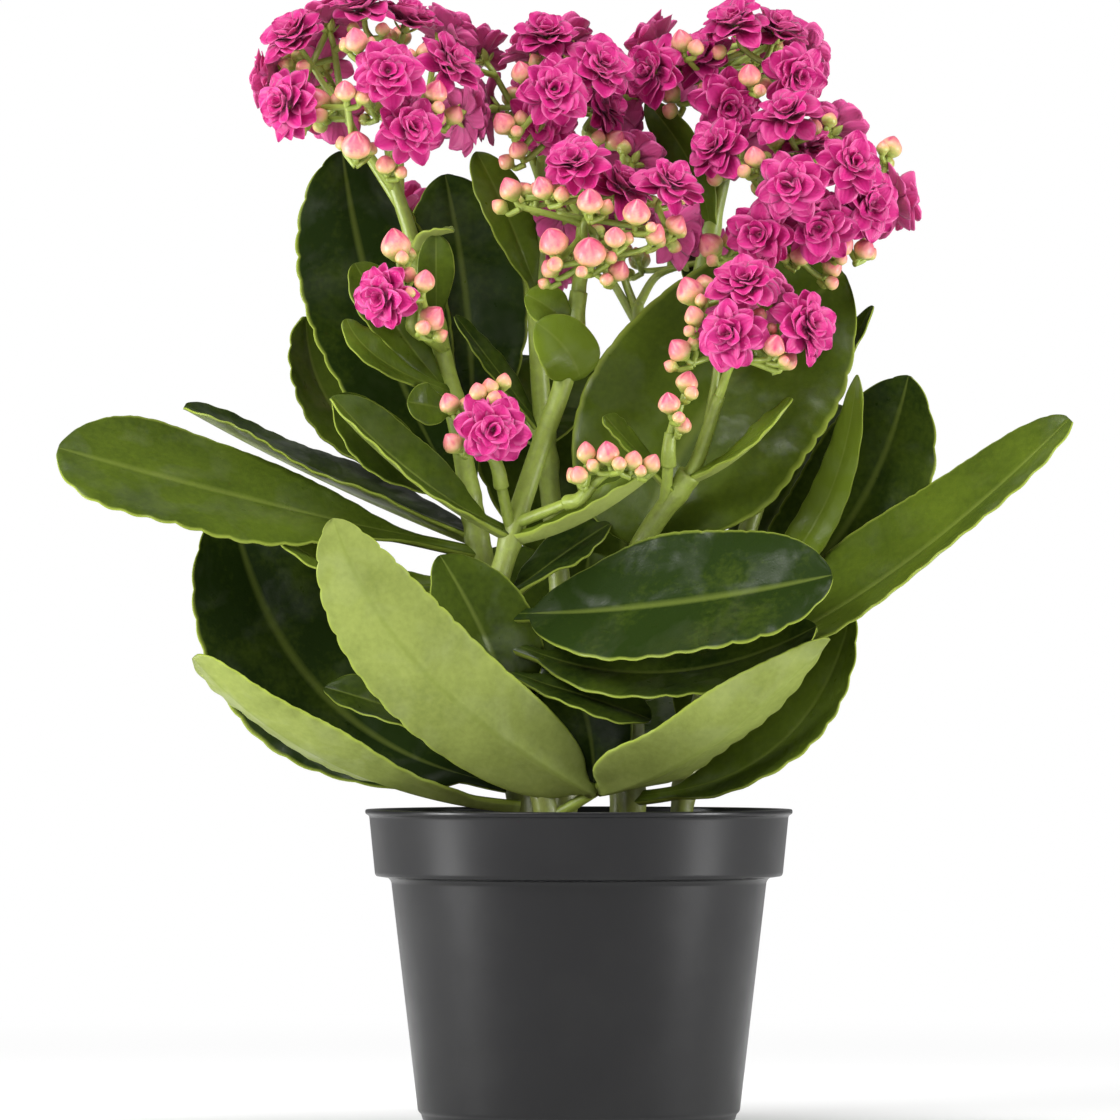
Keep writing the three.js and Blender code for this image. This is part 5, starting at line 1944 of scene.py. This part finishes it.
def aimed(name: str, data: bpy.types.ID, place: Triple, aim: Triple) -> bpy.types.Object:
    """Puts a light or a camera in the scene, turned so that it looks at a place.

    Args:
        name: its name.
        data: the light or the camera.
        place: where it stands, in millimetres.
        aim: the place that it looks at, in millimetres.

    Returns:
        The object.
    """
    holder = bpy.data.objects.new(name, data)
    holder.location = Vector(place) * METRES
    holder.rotation_euler = (Vector(aim) - Vector(place)).to_track_quat("-Z", "Y").to_euler()
    bpy.context.scene.collection.objects.link(holder)
    return holder


@dataclass(frozen=True)
class SoftBox:
    """An area light: its place and aim in millimetres, its width and height in metres, its power."""

    name: str
    place: Triple
    aim: Triple
    wide: float
    tall: float
    watts: float

    def build(self) -> None:
        """Puts the light in the scene."""
        light = bpy.data.lights.new(self.name, "AREA")
        light.shape = "RECTANGLE"
        light.size, light.size_y = self.wide, self.tall
        light.energy = self.watts
        aimed(self.name, light, self.place, self.aim)


@dataclass(frozen=True)
class Studio:
    """A plain pale floor, soft light and the camera, nearly level with the plant's middle."""

    boxes: tuple[SoftBox, ...] = (
        SoftBox("key_light", (-1300, -1500, 1500), (0, 0, 170), 0.9, 0.9, 40.0),
        SoftBox("fill_light", (1600, -1500, 700), (0, 0, 150), 1.3, 1.3, 6.0),
        SoftBox("top_light", (150, -650, 1850), (0, 0, 180), 0.8, 0.8, 25.0),
        SoftBox("left_strip", (-680, -190, 125), (0, 0, 60), 0.18, 0.24, 4.4),
        SoftBox("right_strip", (660, -230, 125), (0, 0, 60), 0.18, 0.24, 4.0),
    )
    eye: Triple = (-5.3, -2500.0, 127.0)
    aim: Triple = (-5.3, 0.0, 162.0)
    lens: float = 286.0
    sensor: float = 36.0
    farthest: float = 100.0
    floor_half: float = 30.0
    floor_tone: float = 0.9
    near: float = 0.12
    far: float = 0.9
    room_light: float = 0.3

    def build(self) -> None:
        """Builds the floor, the lights, the room's light and the camera."""
        self.floor()
        for box in self.boxes:
            box.build()
        self.room()
        camera = bpy.data.cameras.new("camera")
        camera.lens = self.lens
        camera.sensor_width = self.sensor
        camera.clip_end = self.farthest
        bpy.context.scene.camera = aimed("camera", camera, self.eye, self.aim)
        bpy.context.scene.view_settings.view_transform = "Standard"

    def floor(self) -> None:
        """Builds the floor: pale near the pot, and even white light further out."""
        half = self.floor_half
        mesh = bpy.data.meshes.new("floor")
        corners = [(-half, -half, 0), (half, -half, 0), (half, half, 0), (-half, half, 0)]
        mesh.from_pydata(corners, [], [(0, 1, 2, 3)])
        pale = bpy.data.materials.new("pale_floor")
        pale.use_nodes = True
        tree = pale.node_tree
        tree.nodes.clear()
        place = tree.nodes.new("ShaderNodeTexCoord")
        length = tree.nodes.new("ShaderNodeVectorMath")
        length.operation = "LENGTH"
        share = tree.nodes.new("ShaderNodeMapRange")
        share.interpolation_type = "SMOOTHSTEP"
        share.inputs[1].default_value, share.inputs[2].default_value = self.near, self.far
        matt = tree.nodes.new("ShaderNodeBsdfDiffuse")
        matt.inputs["Color"].default_value = (*[self.floor_tone] * 3, 1.0)
        glow = tree.nodes.new("ShaderNodeEmission")
        seen = tree.nodes.new("ShaderNodeLightPath")
        shown = tree.nodes.new("ShaderNodeMath")
        shown.operation = "MULTIPLY"
        blend = tree.nodes.new("ShaderNodeMixShader")
        out = tree.nodes.new("ShaderNodeOutputMaterial")
        tree.links.new(place.outputs["Object"], length.inputs[0])
        tree.links.new(length.outputs["Value"], share.inputs[0])
        tree.links.new(share.outputs[0], shown.inputs[0])
        tree.links.new(seen.outputs["Is Camera Ray"], shown.inputs[1])
        tree.links.new(shown.outputs[0], blend.inputs[0])
        tree.links.new(matt.outputs[0], blend.inputs[1])
        tree.links.new(glow.outputs[0], blend.inputs[2])
        tree.links.new(blend.outputs[0], out.inputs["Surface"])
        mesh.materials.append(pale)
        floor = bpy.data.objects.new("floor", mesh)
        bpy.context.scene.collection.objects.link(floor)

    def room(self) -> None:
        """Builds the room's light: plain white behind the plant, and dimmer where it lights it."""
        world = bpy.data.worlds.new("studio")
        bpy.context.scene.world = world
        world.use_nodes = True
        tree = world.node_tree
        tree.nodes.clear()
        seen = tree.nodes.new("ShaderNodeLightPath")
        dim = tree.nodes.new("ShaderNodeBackground")
        dim.inputs["Strength"].default_value = self.room_light
        white = tree.nodes.new("ShaderNodeBackground")
        for light in (dim, white):
            light.inputs["Color"].default_value = (1.0, 1.0, 1.0, 1.0)
        blend = tree.nodes.new("ShaderNodeMixShader")
        out = tree.nodes.new("ShaderNodeOutputWorld")
        tree.links.new(seen.outputs["Is Camera Ray"], blend.inputs[0])
        tree.links.new(dim.outputs[0], blend.inputs[1])
        tree.links.new(white.outputs[0], blend.inputs[2])
        tree.links.new(blend.outputs[0], out.inputs["Surface"])


def main() -> None:
    """Builds the pot, the soil, the leafy stems, the flower heads and the studio, in that order."""
    logging.basicConfig(level=logging.INFO, format="%(name)s: %(message)s")
    palette = Palette(
        leaf=LeafFinish().material(),
        stalk=StalkFinish().material(),
        petal=PetalFinish().material(),
        bud=BudFinish().material(),
    )
    pot = NurseryPot()
    pot.build(PlasticFinish().material())
    PottingSoil().build(pot, PeatFinish().material())
    for name, stem in STEMS.items():
        twigs = [head.twig() for head in FAR_HEADS.values() if head.stem == name]
        stem.build(name, twigs, palette.leaf, palette.stalk)
    placed: list[Flower] = []
    heads = HEADS | {name: head.head() for name, head in FAR_HEADS.items()}
    for index, (name, head) in enumerate(heads.items()):
        head.build(name, index, placed, palette)
    Studio().build()
    log.info("%d flowers", len(placed))


if __name__ == "__main__":
    main()
